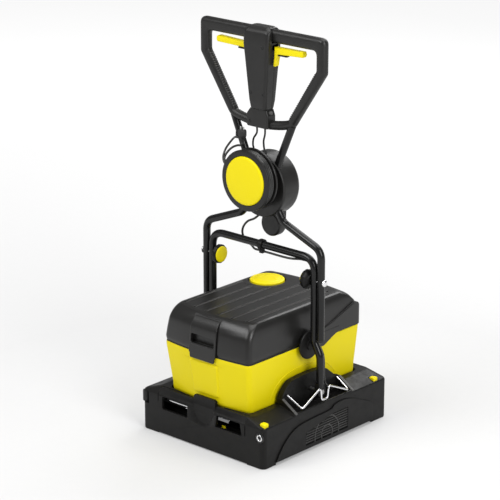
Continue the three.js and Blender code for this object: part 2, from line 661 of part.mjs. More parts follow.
piece('handle_loop', 'plastic', handleLoop());
piece('brace_tube', 'paint', bentTube(BRACE, BRACE_R, 60, 10, 3));
piece('handle_bracket', 'plastic', handleBracket());
const housing = switchHousing();
const frontHalf = box(-70, 70, -80, FRAME_Y - GAP / 2, 900, 1200);
const backHalf = box(-70, 70, FRAME_Y + GAP / 2, 60, 900, 1200);
piece('switch_housing_front', 'plastic', common(housing, frontHalf));
piece('switch_housing_back', 'plastic', common(housing, backHalf));
piece('switch_block', 'plastic', box(-24, 24, -34, -4, 1040, 1100));
const leftTrigger = [
  [-52, 1100], [-52, 1115], [-80, 1117], [-160, 1120], [-165, 1117], [-165, 1105], [-160, 1102],
];
const rightTrigger = [
  [49, 1090], [45.5, 1064], [52, 1064], [57, 1093], [62, 1099], [150, 1103], [153, 1110],
  [150, 1119], [50, 1118],
];
piece('trigger_left', 'yellow', roundedPlate(leftTrigger, FRAME_Y - 11, FRAME_Y + 8, 2, 1));
piece('trigger_right', 'yellow', roundedPlate(rightTrigger, FRAME_Y - 11, FRAME_Y + 8, 2, 1));

// ---- cable reel ------------------------------------------------------------------------
const BOWL = { z: 718, r: 92, back: 54 };

function reelHousing() {
  const bowl = turned('y', [0, 0, BOWL.z], [
    [0, BOWL.back], [68, BOWL.back], [86, BOWL.back - 7], [BOWL.r, BOWL.back - 18], [BOWL.r, -27],
    [0, -27],
  ], 32);
  const foot = turned('y', [10, 0, 598], [
    [0, 42], [28, 42], [35, 35], [35, 10], [31, 6], [0, 6],
  ], 20);
  const tubes = SIDES.map((s) => bentTube(pushRoute(s), TUBE_R + GAP, 40));
  const spindleSpace = rod('y', [0, 0, REEL_Z], 57, -28, 30, 28);
  return cut(join(bowl, foot), ...tubes, spindleSpace);
}

piece('reel_housing', 'plastic', reelHousing());
piece('reel_spindle', 'steel', turned('y', [0, 0, REEL_Z],
  [[0, -84], [8, -84], [8, -46.5], [30, -46.5], [30, -25], [18, -25], [18, 29.7], [0, 29.7]], 20));
piece('reel_drum', 'plastic', turned('y', [0, 0, REEL_Z], [
  [8.3, -81], [70, -81], [70, REEL_FRONT + 2], [72, REEL_FRONT], [84, REEL_FRONT],
  [REEL_R, REEL_FRONT + 3], [REEL_R, -79],
  [50, -79], [50, -54], [REEL_R, -54], [REEL_R, -47], [8.3, -47], [8.3, -81],
], 28));
piece('cord_winding', 'cord', turned('y', [0, 0, REEL_Z], [
  [50.3, -78.6], [82, -78.6], [84.5, -76], [84.5, -57], [82, -54.4], [50.3, -54.4], [50.3, -78.6]], 28));
piece('reel_disc', 'yellow', turned('y', [0, 0, REEL_Z], [
  [0, -84.3], [69.6, -84.3], [69.6, -88.5], [66, -90.5], [0, -91.5]], 28));

// ---- cords that the machine holds ------------------------------------------------------
const PLUG = { x: -57, y: -35 };
piece('mains_plug', 'rubber', turned('z', [PLUG.x, PLUG.y, 0], [
  [0, 834], [4.6, 834], [5.6, 842], [9, 847], [12, 853], [12, 866], [9.5, 870], [0, 870],
], 14));
piece('cord_tail', 'cord', cord([
  [PLUG.x, PLUG.y, 833.4], [PLUG.x, PLUG.y, 829], [-63, -34, 823.5], [-78, -33, 820],
  [-95, -37, 811], [-106, -48, 794],
  [-101, -61, 781], [-88, -66, 780],
], 3.2, 14));
const cableEnds = [[-33, 804.8, 'left'], [8, 810.6, 'right']];
for (const [k, [x, end, name]] of cableEnds.entries()) {
  const top = CABLE_X[k];
  piece(`handle_cable_${name}`, 'cord', cord([
    [top, CABLE_Y, BRACKET_BOTTOM - GAP], [top, CABLE_Y, 868], [(top + 2 * x) / 3, -22, 848],
    [x, -17, 828], [x, -14, 816], [x, -14, end],
  ], 2.8, 12));
}
piece('reel_lead', 'cord', cord([
  [-26, 10, 628], [-34, 10, 617], [-52, 10, 602], [-78, 10, 588], [-94, 10, 569], [-98, 10, 552],
  [-91, 10, 537], [-74, 8, 528], [-55, 3, 522.5], [-38, -7, 520.8], [-27, -12, 521.4], [-16, -12, 521.7],
], 3.2, 26));
piece('frame_cable', 'cord', cord([
  [-13, -12, 521.7], [20, -12, 521.7], [100, -11, 522], [140, -2, 525], [172, 4, 518],
  [190, 4, 492], [193, 4, 460],
  [193, 4, 330], [196, 4, 292], [214, 4, 256], [216, 5, 200],
], 3.2, 30));

export default machine;
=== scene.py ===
"""A walk-behind floor scrubber: detailed pieces, materials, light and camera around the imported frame.

Shapes are written in millimetres in the frame's own axes and scaled to metres when a mesh is made.
"""
import json
import math
import random

import bmesh
import bpy
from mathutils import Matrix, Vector


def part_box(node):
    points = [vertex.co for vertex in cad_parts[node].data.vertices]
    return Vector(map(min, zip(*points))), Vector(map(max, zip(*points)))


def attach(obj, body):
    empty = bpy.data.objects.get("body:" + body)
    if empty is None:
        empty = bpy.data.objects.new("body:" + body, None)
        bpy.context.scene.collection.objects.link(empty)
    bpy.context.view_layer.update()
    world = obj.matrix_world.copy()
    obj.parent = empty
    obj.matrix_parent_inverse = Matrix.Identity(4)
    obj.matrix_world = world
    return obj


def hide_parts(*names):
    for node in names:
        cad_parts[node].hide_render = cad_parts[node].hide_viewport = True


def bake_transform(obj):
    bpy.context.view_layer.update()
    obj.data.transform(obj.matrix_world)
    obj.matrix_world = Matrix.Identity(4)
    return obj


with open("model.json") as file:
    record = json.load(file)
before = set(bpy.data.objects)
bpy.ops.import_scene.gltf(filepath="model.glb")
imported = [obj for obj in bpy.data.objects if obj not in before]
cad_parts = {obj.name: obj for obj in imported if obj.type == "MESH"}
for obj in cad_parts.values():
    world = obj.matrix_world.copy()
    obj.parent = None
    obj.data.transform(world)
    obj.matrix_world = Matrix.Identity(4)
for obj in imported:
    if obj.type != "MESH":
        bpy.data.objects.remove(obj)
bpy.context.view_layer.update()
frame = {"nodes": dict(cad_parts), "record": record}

MM = 0.001
SIDES = ((-1, "left"), (1, "right"))


def span(node):
    """A node's lowest and highest corners at rest, in millimetres."""
    low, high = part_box(node)
    return Vector(low) / MM, Vector(high) / MM


def middle(node):
    low, high = span(node)
    return (low + high) / 2


def upright(node):
    """The foot of the vertical line through a node's middle."""
    centre = middle(node)
    return centre.x, centre.y, 0


# ---- camera ------------------------------------------------------------------------------
CAMERA_PLACE = (3.9663, -4.4462, 2.4691)
CAMERA_AZIMUTH = math.radians(42.16)
CAMERA_ELEVATION = math.radians(18.10)
CAMERA_LENS = 159.9


def add_camera():
    data = bpy.data.cameras.new("camera")
    data.lens = CAMERA_LENS
    data.sensor_width = 36
    camera = bpy.data.objects.new("camera", data)
    bpy.context.scene.collection.objects.link(camera)
    flat = math.cos(CAMERA_ELEVATION)
    back = Vector((math.sin(CAMERA_AZIMUTH) * flat, -math.cos(CAMERA_AZIMUTH) * flat,
                   math.sin(CAMERA_ELEVATION)))
    camera.location = CAMERA_PLACE
    camera.rotation_euler = back.to_track_quat("Z", "Y").to_euler()
    bpy.context.scene.camera = camera


add_camera()


# ---- materials ---------------------------------------------------------------------------
def preset(node, **values):
    """Set a node's sockets; an underscore in a keyword stands for a space."""
    for socket, value in values.items():
        node.inputs[socket.replace("_", " ")].default_value = value


def surface(name, colour, roughness, metallic=0.0, grain=1400.0, bump=0.15, depth=0.0002, mottle=0.08,
            rough_spread=0.08, coat=0.0, stretch=(1, 1, 1), specular=0.5):
    """A moulded, painted or plated finish: fine bump, slow colour mottling and uneven gloss."""
    material = bpy.data.materials.new(name)
    material.use_nodes = True
    nodes, links = material.node_tree.nodes, material.node_tree.links
    shader = nodes["Principled BSDF"]
    preset(shader, Metallic=metallic, Specular_IOR_Level=specular, Coat_Weight=coat, Coat_Roughness=0.08)
    place = nodes.new("ShaderNodeTexCoord")
    scaled = nodes.new("ShaderNodeMapping")
    preset(scaled, Scale=stretch)
    links.new(place.outputs["Object"], scaled.inputs["Vector"])

    def noise(scale, detail):
        node = nodes.new("ShaderNodeTexNoise")
        preset(node, Scale=scale, Detail=detail)
        links.new(scaled.outputs["Vector"], node.inputs["Vector"])
        return node.outputs["Fac"]

    tint = nodes.new("ShaderNodeMix")
    tint.data_type = "RGBA"
    tint.inputs["A"].default_value = (*[c * (1 - mottle) for c in colour], 1)
    tint.inputs["B"].default_value = (*[min(1, c * (1 + mottle)) for c in colour], 1)
    links.new(noise(9, 4), tint.inputs["Factor"])
    links.new(tint.outputs["Result"], shader.inputs["Base Color"])
    gloss = nodes.new("ShaderNodeMapRange")
    preset(gloss, From_Min=0.3, From_Max=0.7, To_Min=roughness - rough_spread, To_Max=roughness + rough_spread)
    links.new(noise(38, 6), gloss.inputs["Value"])
    links.new(gloss.outputs["Result"], shader.inputs["Roughness"])
    relief = nodes.new("ShaderNodeBump")
    preset(relief, Strength=bump, Distance=depth)
    links.new(noise(grain, 3), relief.inputs["Height"])
    links.new(relief.outputs["Normal"], shader.inputs["Normal"])
    return material


DARK = surface("dark moulded plastic", (0.0060, 0.0058, 0.0055), 0.42, bump=0.20, specular=0.20)
LID = surface("lid plastic", (0.0105, 0.0101, 0.0096), 0.33, bump=0.15, grain=1100, rough_spread=0.03,
              specular=0.42)
# light grey: the plastic's own grey on some small pieces, and a painted highlight on the handle-leg ridges and
# the lid beads
GREY_AND_HIGHLIGHT = surface("grey plastic and painted highlight", (0.055, 0.054, 0.052), 0.5, bump=0.25)
CASE = surface("case plastic", (0.0105, 0.0102, 0.0097), 0.38, bump=0.20, specular=0.33)
YELLOW = surface("yellow plastic", (0.78, 0.65, 0.003), 0.40, grain=900, bump=0.08, mottle=0.02,
                 rough_spread=0.05, specular=0.16)
PAINT = surface("gloss black paint", (0.006, 0.006, 0.006), 0.24, grain=260, bump=0.05, depth=0.0004,
                rough_spread=0.05, coat=0.08, specular=0.28)
CHROME = surface("bright plating", (0.80, 0.80, 0.81), 0.14, 1.0, grain=500, bump=0.04, rough_spread=0.05)
STEEL = surface("machined steel", (0.42, 0.42, 0.41), 0.33, 1.0, grain=300, bump=0.2, stretch=(0.05, 1, 1))
RUBBER = surface("matt rubber", (0.013, 0.013, 0.013), 0.68, grain=700, bump=0.35)
SHEATH = surface("cable sheath", (0.020, 0.020, 0.019), 0.34, grain=600, bump=0.18)
BRISTLE = surface("nylon bristle", (0.20, 0.22, 0.24), 0.6, grain=2200, bump=0.5, mottle=0.25)
# louvre plastic, lighter than the deck plastic around it
LOUVRE = surface("lighter louvre plastic", (0.022, 0.0215, 0.0205), 0.36, bump=0.2, specular=0.5)
SEAM = surface("shadow gap", (0.008, 0.008, 0.008), 0.8)

FINISH = {"deck_black": DARK, "lid_black": LID, "yellow": YELLOW, "black_paint": PAINT, "chrome": CHROME,
          "steel": STEEL, "rubber": RUBBER, "bristle": BRISTLE, "cord": SHEATH}
# finishes other than the slot's usual one
SPECIAL = {"case": ("deck_black", CASE), "grey": ("deck_black", GREY_AND_HIGHLIGHT), "seam": ("deck_black", SEAM),
           "louvre": ("deck_black", LOUVRE), "plug": ("deck_black", RUBBER), "lid_grey": ("lid_black", GREY_AND_HIGHLIGHT),
           "foot": ("black_paint", DARK), "brace": ("black_paint", CASE), "pipe": ("steel", CHROME),
           "core": ("bristle", DARK)}


# ---- mesh helpers ------------------------------------------------------------------------
def make(name, points, faces):
    mesh = bpy.data.meshes.new(name)
    mesh.from_pydata([Vector(point) * MM for point in points], [], faces)
    obj = bpy.data.objects.new(name, mesh)
    bpy.context.scene.collection.objects.link(obj)
    work = bmesh.new()
    work.from_mesh(mesh)
    bmesh.ops.remove_doubles(work, verts=work.verts, dist=1e-7)
    bmesh.ops.recalc_face_normals(work, faces=work.faces)
    work.to_mesh(mesh)
    work.free()
    return obj


def arc(u, v, radius, count, start=0.0, sweep=2 * math.pi):
    last = count if abs(sweep - 2 * math.pi) < 1e-9 else count - 1
    angles = [start + sweep * i / last for i in range(count)]
    return [(u + radius * math.cos(a), v + radius * math.sin(a)) for a in angles]


def rounded(half_u, half_v, radius, centre=(0, 0), steps=9):
    points = []
    for i, (su, sv) in enumerate(((1, 1), (-1, 1), (-1, -1), (1, -1))):
        points += arc(centre[0] + su * (half_u - radius), centre[1] + sv * (half_v - radius),
                      radius, steps, i * math.pi / 2, math.pi / 2)
    return points


def stack(name, rings):
    """A closed body through rings of equal length, with flat ends."""
    count = len(rings[0])
    points = [point for ring in rings for point in ring]
    faces = [tuple(range(count))[::-1], tuple(range(len(points) - count, len(points)))]
    for k in range(len(rings) - 1):
        for i in range(count):
            j = (i + 1) % count
            faces.append((k * count + i, k * count + j, (k + 1) * count + j, (k + 1) * count + i))
    return make(name, points, faces)


def loft(name, sections, steps=9):
    """Level rounded rectangles: each section is (z, half x, half y, radius, centre x, centre y)."""
    rings = []
    for z, half_x, half_y, radius, *centre in sections:
        outline = rounded(half_x, half_y, radius, centre or (0, 0), steps)
        rings.append([(u, v, z) for u, v in outline])
    return stack(name, rings)


def bowed(half_x, front, rear, bow_front, bow_rear, radius, steps=9, shares=12):
    """A plan with straight sides and bowed ends; front and rear are measured at the corners."""
    flat = half_x - radius
    points = []
    for turn, reach, bow in ((1, rear, bow_rear), (-1, front, bow_front)):
        start = 0 if turn > 0 else math.pi
        points += arc(turn * flat, turn * (reach - radius), radius, steps, start, math.pi / 2)
        for k in range(1, shares):
            share = 1 - 2 * k / shares
            points.append((turn * share * flat, turn * (reach + bow * (1 - share * share))))
        points += arc(-turn * flat, turn * (reach - radius), radius, steps, start + math.pi / 2, math.pi / 2)
    return points


def between_sections(sections, steps):
    """The same sections with more of them between, on one smooth curve."""
    rows = [sections[0], *sections, sections[-1]]
    smooth = []
    for before, a, b, after in zip(rows, rows[1:], rows[2:], rows[3:]):
        for i in range(steps):
            t = i / steps
            smooth.append(tuple(
                q + 0.5 * t * (r - p + t * (2 * p - 5 * q + 4 * r - w + t * (3 * (q - r) + w - p)))
                for p, q, r, w in zip(before, a, b, after)))
    return smooth + [sections[-1]]


def bowed_loft(name, sections, steps=9):
    """Level bowed plans: each section is (z, half x, front, rear, front bow, rear bow, radius)."""
    return stack(name, [[(u, v, z) for u, v in bowed(*plan, steps=steps)] for z, *plan in sections])


def placed(axis, u, v, w):
    """A point from outline coordinates (u, v) and a distance w along the axis."""
    return {"x": (w, u, v), "y": (u, w, v), "z": (u, v, w)}[axis]


def extrude(name, outline, axis, near, far):
    return stack(name, [[placed(axis, u, v, w) for u, v in outline] for w in (near, far)])


def drawn_in(outline, distance):
    """A closed outline moved inwards, with mitred corners."""
    spots = [Vector(spot) for spot in outline]
    area = sum(a.x * b.y - b.x * a.y for a, b in zip(spots, spots[1:] + spots[:1]))
    turn = math.copysign(distance, area)
    moved = []
    for before, spot, after in zip(spots[-1:] + spots[:-1], spots, spots[1:] + spots[:1]):
        one, two = (spot - before).normalized(), (after - spot).normalized()
        inwards = Vector((-one.y - two.y, one.x + two.x)) / (1 + one.dot(two))
        moved.append(tuple(spot + inwards * turn))
    return moved


def pillow(name, outline, axis, near, far, radius, steps=6):
    """An extrusion with round edges all round both faces."""
    rings = []
    for end, way in ((near, 1), (far, -1)):
        edge = []
        for i in range(steps + 1):
            a = math.pi / 2 * i / steps
            w = end + way * radius * (1 - math.cos(a))
            edge.append([placed(axis, u, v, w) for u, v in drawn_in(outline, radius * (1 - math.sin(a)))])
        rings += edge[::way]
    return stack(name, rings)


def bent_outline(corners, radius, steps=7):
    return [(p.x, p.y) for p in bent_route([(u, v, 0) for u, v in corners], radius, steps)]


def box(name, x0, x1, y0, y1, z0, z1):
    return extrude(name, [(x0, y0), (x1, y0), (x1, y1), (x0, y1)], "z", z0, z1)


def turned(name, profile, axis, centre, sides=64, lobes=0, lobe_depth=0.0):
    """A turned body. The profile is (radius, distance) from axis to axis, or closes on itself."""
    centre = Vector(centre)
    points, rows = [], []
    for radius, distance in profile:
        if radius < 1e-6:
            rows.append([len(points)])
            points.append(centre + Vector(placed(axis, 0, 0, distance)))
            continue
        rows.append(list(range(len(points), len(points) + sides)))
        for i in range(sides):
            angle = 2 * math.pi * i / sides
            wave = 1 + lobe_depth * math.cos(lobes * angle) if lobes else 1
            spot = placed(axis, radius * wave * math.cos(angle), radius * wave * math.sin(angle), distance)
            points.append(centre + Vector(spot))
    faces = []
    pairs = list(zip(rows, rows[1:]))
    if len(rows[0]) > 1:
        pairs.append((rows[-1], rows[0]))
    for first, second in pairs:
        for i in range(sides):
            j = (i + 1) % sides
            corners = [first[i % len(first)], first[j % len(first)], second[j % len(second)],
                       second[i % len(second)]]
            corners = list(dict.fromkeys(corners))
            if len(corners) > 2:
                faces.append(tuple(corners))
    return make(name, points, faces)


def rod(radius, near, far):
    """The profile of a plain round bar."""
    return [(0, near), (radius, near), (radius, far), (0, far)]


def sleeve(inner, outer, near, far):
    """The profile of a plain ring."""
    return [(inner, near), (outer, near), (outer, far), (inner, far)]


def bent_route(corners, radius, steps=10):
    """Straight stretches joined by rounded corners."""
    corners = [Vector(corner) for corner in corners]
    route = [corners[0]]
    for before, corner, after in zip(corners, corners[1:], corners[2:]):
        back, ahead = before - corner, after - corner
        turn = math.pi - back.angle(ahead)
        reach = min(radius * math.tan(turn / 2), back.length * 0.49, ahead.length * 0.49)
        start, end = corner + back.normalized() * reach, corner + ahead.normalized() * reach
        for i in range(steps + 1):
            t = i / steps
            route.append(start * (1 - t) ** 2 + corner * 2 * t * (1 - t) + end * t ** 2)
    return route + [corners[-1]]


def smooth_route(points, steps=8):
    """A centripetal Catmull-Rom curve through given points."""
    points = [Vector(point) for point in points]
    points = [points[0] * 2 - points[1], *points, points[-1] * 2 - points[-2]]
    route = []
    for p0, p1, p2, p3 in zip(points, points[1:], points[2:], points[3:]):
        t1 = (p1 - p0).length ** 0.5
        t2 = t1 + (p2 - p1).length ** 0.5
        t3 = t2 + (p3 - p2).length ** 0.5
        for i in range(steps):
            t = t1 + (t2 - t1) * i / steps
            a1 = p0 * (t1 - t) / t1 + p1 * t / t1
            a2 = p1 * (t2 - t) / (t2 - t1) + p2 * (t - t1) / (t2 - t1)
            a3 = p2 * (t3 - t) / (t3 - t2) + p3 * (t - t2) / (t3 - t2)
            b1 = a1 * (t2 - t) / t2 + a2 * t / t2
            b2 = a2 * (t3 - t) / (t3 - t1) + a3 * (t - t1) / (t3 - t1)
            route.append(b1 * (t2 - t) / (t2 - t1) + b2 * (t - t1) / (t2 - t1))
    return route + [points[-2]]


def tube(name, route, radius, sides=20):
    """A round tube along a route, with a frame carried along without twist."""
    normal = None
    rings = []
    for i, point in enumerate(route):
        ahead = (route[min(i + 1, len(route) - 1)] - route[max(i - 1, 0)]).normalized()
        if normal is None:
            normal = ahead.orthogonal().normalized()
        normal = (normal - ahead * normal.dot(ahead)).normalized()
        other = ahead.cross(normal)
        width = radius(i / (len(route) - 1)) if callable(radius) else radius
        rings.append([point + (normal * math.cos(a) + other * math.sin(a)) * width
                      for a in (2 * math.pi * k / sides for k in range(sides))])
    return stack(name, rings)


def cable(name, points, radius, sides=12, steps=8):
    return shade(tube(name, smooth_route(points, steps), radius, sides))


def settle(obj):
    """Turn the modifiers into the mesh."""
    graph = bpy.context.evaluated_depsgraph_get()
    mesh = bpy.data.meshes.new_from_object(obj.evaluated_get(graph))
    obj.modifiers.clear()
    obj.data = mesh
    return obj


def combine(obj, kind, tools):
    for tool in tools:
        step = obj.modifiers.new("boolean", "BOOLEAN")
        step.operation = kind
        step.solver = "EXACT"
        step.object = tool
    settle(obj)
    for tool in tools:
        bpy.data.objects.remove(tool)
    return obj


def carve(obj, *tools):
    return combine(obj, "DIFFERENCE", tools)


def weld(obj, *tools):
    return combine(obj, "UNION", tools)


def bevel(obj, width, segments, limit, **settings):
    edges = obj.modifiers.new("edges", "BEVEL")
    edges.width = width * MM
    edges.segments = segments
    edges.limit_method = limit
    for setting, value in settings.items():
        setattr(edges, setting, value)


def soften(obj, width, segments=3, angle=32, keep_sharp=None):
    """Round the edges, but for those inside the box keep_sharp, and shade the rest smooth."""
    work = bmesh.new()
    work.from_mesh(obj.data)
    bmesh.ops.remove_doubles(work, verts=work.verts, dist=0.02 * MM)
    bmesh.ops.triangulate(work, faces=[face for face in work.faces if len(face.verts) > 4])
    if keep_sharp:
        weight = work.edges.layers.float.new("bevel_weight_edge")
        for edge in work.edges:
            ends = [vert.co / MM for vert in edge.verts]
            kept = all(low < c < high for end in ends for low, c,
                       high in zip(keep_sharp[0], end, keep_sharp[1]))
            if not kept and edge.is_manifold and edge.calc_face_angle() > math.radians(angle):
                edge[weight] = 1
    work.to_mesh(obj.data)
    work.free()
    bevel(obj, width, segments, "WEIGHT" if keep_sharp else "ANGLE", angle_limit=math.radians(angle),
          use_clamp_overlap=False)
    return level(shade(settle(obj)))


def level(obj):
    """Keep broad faces flat where they meet a rounded edge."""
    even = obj.modifiers.new("level", "WEIGHTED_NORMAL")
    even.keep_sharp = True
    even.weight = 90
    return settle(obj)


def shade(obj, angle=38):
    obj.data.shade_smooth()
    obj.data.set_sharp_from_angle(angle=math.radians(angle))
    return obj


def join_pieces(name, parts):
    """Several bodies as one object."""
    work = bmesh.new()
    for part in parts:
        work.from_mesh(part.data)
        bpy.data.objects.remove(part)
    mesh = bpy.data.meshes.new(name)
    work.to_mesh(mesh)
    work.free()
    obj = bpy.data.objects.new(name, mesh)
    bpy.context.scene.collection.objects.link(obj)
    return obj


def fit(obj, look, body, *nodes):
    """Give a piece its finish and its body, and hide the frame nodes it stands for."""
    slot, material = SPECIAL[look] if look in SPECIAL else (look, FINISH[look])
    obj.data.materials.clear()
    obj.data.materials.append(material)
    if body:
        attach(obj, body)
    if nodes:
        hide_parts(*nodes)
    return obj


# ---- deck --------------------------------------------------------------------------------
HALF_X, HALF_Y, _ = span("deck_shell")[1]
WALL_TOP = 121
SEAT_Z = 128
RIM = (178, 257)
BAY = {"front": -125, "rear": 110, "inner": 181, "outer": 226, "floor": 112}
TOWER = [(-132, 162), (-125, 173), (-112, 187), (-94, 198), (-60, 202), (0, 203), (53, 197), (73, 183),
         (94, 167), (117, 155)]
COVER_TOP = [(-219, 9), (-200, 36), (-175, 62), (-148, 80), (-118, 90), (-60, 95), (18, 99), (30, 107),
             (67, 111), (110, 103), (150, 87), (180, 74)]
WINDOW = [(-94, 21), (88, 21), (88, 84), (25, 84), (-94, 57)]


def smooth_outline(points, steps=6):
    return [(p.x, p.y) for p in smooth_route([(u, v, 0) for u, v in points], steps)]


def both(near, far, s):
    return min(s * near, s * far), max(s * near, s * far)


def add_deck():
    shell = loft("deck", [
        (0, HALF_X - 1.5, HALF_Y - 1.5, 15), (2, HALF_X, HALF_Y, 16), (WALL_TOP - 5, HALF_X, HALF_Y, 16),
        (WALL_TOP - 1.5, HALF_X - 1, HALF_Y - 1, 16), (WALL_TOP + 0.7, HALF_X - 4, HALF_Y - 2, 17),
        (136, RIM[0] + 6, RIM[1] + 1.3, 22), (137.6, RIM[0] + 2, RIM[1] + 0.2, 22),
        (138, RIM[0] - 2, RIM[1] - 2, 22),
    ], 12)
    # between the corner blocks the front shoulder lies a little lower
    lowered = [(-270, 118), (-268, 118), (-265.6, 120.6), (-255.5, 136.4), (-248, 136.4), (-248, 142),
               (-270, 142)]
    carve(shell, extrude("lower shoulder", lowered, "x", -169, 163))
    tongue = [(-40, 100), (46, 100), (46, 149), (41, 154), (-31, 154), (-36, 149)]
    added = [extrude("tongue", tongue, "y", -262, -247)]
    for s, _ in SIDES:
        saddle = [(s * x, z) for x, z in ((HALF_X - 0.5, 100), (HALF_X - 0.5, 125), (181, 157), (162.5, 157),
                                          (162.5, 100))]
        added.append(extrude("saddle", saddle, "y", BAY["front"] - 9, BAY["rear"] + 9))
        arch = [(-132, 118), *smooth_outline(TOWER), (117, 118)]
        added.append(extrude("tower", arch, "x", *both(162, BAY["inner"], s)))
    weld(shell, *added)
    slot_left = rounded(49, 19, 4, (-105, 96), 5)
    slot_right = [(52, 80), (151, 80), (144, 115), (58, 115)]
    bowl = [[(3 - r, y, 134), *[(u, y, v) for u, v in arc(3, 110, r, 33, math.pi, math.pi)], (3 + r, y, 134)]
            for y, r in ((-271, 49), (-262.3, 36))]
    tools = [
        box("cavity", -225, 225, -258, 258, -1, 106),
        box("upper cavity", -150, 150, -230, 230, 105, SEAT_Z - 6),
        bowed_loft("tank seat", [(SEAT_Z, 154.5, 237, 226, 13, 10, 18), (260, 164, 252, 241, 13, 10, 18)]),
        box("toe gap", -170, 170, -270, 270, -1, 3),
        extrude("left slot", slot_left, "y", -270, -255),
        extrude("right slot", slot_right, "y", -270, -255),
        box("front bay", -156, 154, -258, -225, 60, 117),
        stack("hand recess", bowl),
        turned("ring seat", rod(15, -270, -263), "y", (216, 0, 91), 40),
        box("deflector notch", -240, -207, -270, -240, 81, 116),
        box("vent window", 224, 234, -92, 86, 24, 84),
        box("corner crease", -170.2, -168.8, -269, -266.8, 98, 121),
        box("corner crease right", 162.6, 164, -269, -267.2, 84, 121),
    ]
    for node in ("corner_button_front", "corner_button_rear"):
        low, high = span(node)
        tools.append(box("button well", low.x - 1, high.x + 1, low.y - 1, high.y + 1, low.z - 4.5, 160))
    for s, _ in SIDES:
        tools.append(box("side gap", *both(200, 240, s), -215, 200, -1, 8))
        tools.append(box("bay", *both(BAY["inner"], BAY["outer"], s), BAY["front"], BAY["rear"],
                         BAY["floor"], 230))
        tools.append(box("lip", *both(BAY["outer"], 240, s), BAY["front"] + 4, BAY["rear"] - 4, 127, 160))
    carve(shell, *tools)
    recess = ((-52, -272, 55), (58, -258, 140))
    fit(soften(shell, 1.3, keep_sharp=recess), "deck_black", "chassis", "deck_shell")
    post = turned("deflector_post", rod(4, 80.5, 116.5), "z", upright("deflector_roller"), 24)
    fit(shade(post), "steel", "chassis")
    for s, name in SIDES:
        for place, near in (("front", BAY["front"] - 9.4), ("rear", BAY["rear"] - 0.2)):
            rib = [(s * x, z) for x, z in ((HALF_X - 0.2, 122.5), (HALF_X - 0.2, 125.6), (181.5, 157.6),
                                           (181.5, 154.5))]
            rib = extrude(f"saddle_rib_{name}_{place}", rib, "y", near, near + 9.6)
            fit(soften(rib, 0.8), "grey", "chassis")


def add_deck_trim():
    fit(soften(box("hose_tab", 57, 71, -247, -243, 66, 80), 1.0), "yellow", "chassis")
    low, high = span("eyelet_ring")
    centre = ((low.x + high.x) / 2, 0, (low.z + high.z) / 2)
    ring = [(8 + 2.4 * math.cos(a),
             -265.6 + 2.2 * math.sin(a)) for a in (2 * math.pi * i / 14 for i in range(14))]
    fit(shade(turned("eyelet_ring_fine", ring, "y", centre)), "chrome", "chassis", "eyelet_ring")
    bush = turned("eyelet_bush", sleeve(10.8, 14.4, -267.6, -263.4), "y", centre)
    fit(soften(bush, 0.6), "rubber", "chassis")
    fit(shade(turned("eyelet_floor", rod(5.4, -263.6, -263.2), "y", centre)), "rubber", "chassis")
    low, high = span("water_feed_pipe")
    pipe = turned("water_pipe", [(0, low.x), (3.2, low.x), (3.5, low.x + 1), (3.5, high.x - 1), (3.2, high.x),
                                 (0, high.x)], "x", (0, (low.y + high.y) / 2, (low.z + high.z) / 2), 32)
    fit(shade(pipe), "pipe", "chassis", "water_feed_pipe")
    low, high = span("deflector_roller")
    profile = [(4.5, low.z), (8.2, low.z), (9.6, low.z + 1), (10, low.z + 3), (10, high.z - 3),
               (9.6, high.z - 1), (8.2, high.z), (4.5, high.z)]
    roller = turned("deflector", profile, "z", upright("deflector_roller"), 48)
    fit(shade(roller), "rubber", "deflector", "deflector_roller")
    for place in ("front", "rear"):
        low, high = span(f"corner_button_{place}")
        x, y = (low.x + high.x) / 2, (low.y + high.y) / 2
        top = high.z
        pad = loft(f"corner_pad_{place}", [
            (low.z, 9.5, 9, 3.5, x, y), (top - 4, 9.5, 9, 3.5, x, y), (top - 1.8, 9.1, 8.6, 3.6, x, y),
            (top - 0.5, 7.8, 7.3, 3.4, x, y), (top, 5.5, 5, 3, x, y)], 7)
        fit(shade(pad, 50), "yellow", f"button_{place}", f"corner_button_{place}")


def add_covers():
    ends = [(192, 68), (199, 58), (200, 44), (200, 9)]
    outline = smooth_outline(COVER_TOP, 5) + ends
    for s, name in SIDES:
        near, far = both(HALF_X + 0.3, HALF_X + 4, s)
        panel = extrude(f"side_panel_{name}", outline, "x", near, far)
        if s < 0:
            fit(soften(panel, 1.2), "deck_black", "chassis", "side_cover_left")
            continue
        carve(panel, extrude("window", WINDOW, "x", 230, 245))
        fit(soften(panel, 1.0), "deck_black", "chassis", "drive_cover")
        fins = []
        for row in range(8):
            z = 29 + 7.3 * row
            front = -94 + 4.41 * max(0, z - 57)
            blade = [(HALF_X + 3.2, z - 2.4), (HALF_X + 3.2, z - 0.6), (HALF_X - 3.5, z + 3.4),
                     (HALF_X - 3.5, z + 1.6)]
            fins.append(extrude("fin", blade, "y", front, 88))
        for radius in (24, 52):
            ring = sleeve(radius - 1.6, radius + 1.6, HALF_X - 2, HALF_X + 3.4)
            keep = extrude("grille space", WINDOW, "x", HALF_X - 6, HALF_X + 4)
            fins.append(combine(turned("swirl", ring, "x", (0, -3, 32), 72), "INTERSECT", [keep]))
        fit(shade(join_pieces("grille_louvres", fins), 30), "louvre", "chassis")
        backing = extrude("grille_backing", WINDOW, "x", HALF_X - 8.5, HALF_X - 7.5)
        fit(shade(backing), "seam", "chassis")
        for k, (y, z) in enumerate(((-115, 100), (125, 105), (190, 20), (-190, 20))):
            face = HALF_X + (4 if k > 1 else 0)
            head = [(0, face - 1), (3.6, face - 1), (3.6, face + 0.3), (2.6, face + 0.3), (2.2, face - 0.6),
                    (0, face - 0.6)]
            head = turned(f"cover_screw_{k}", head, "x", (0, y, z), 20)
            fit(shade(head), "seam", "chassis")


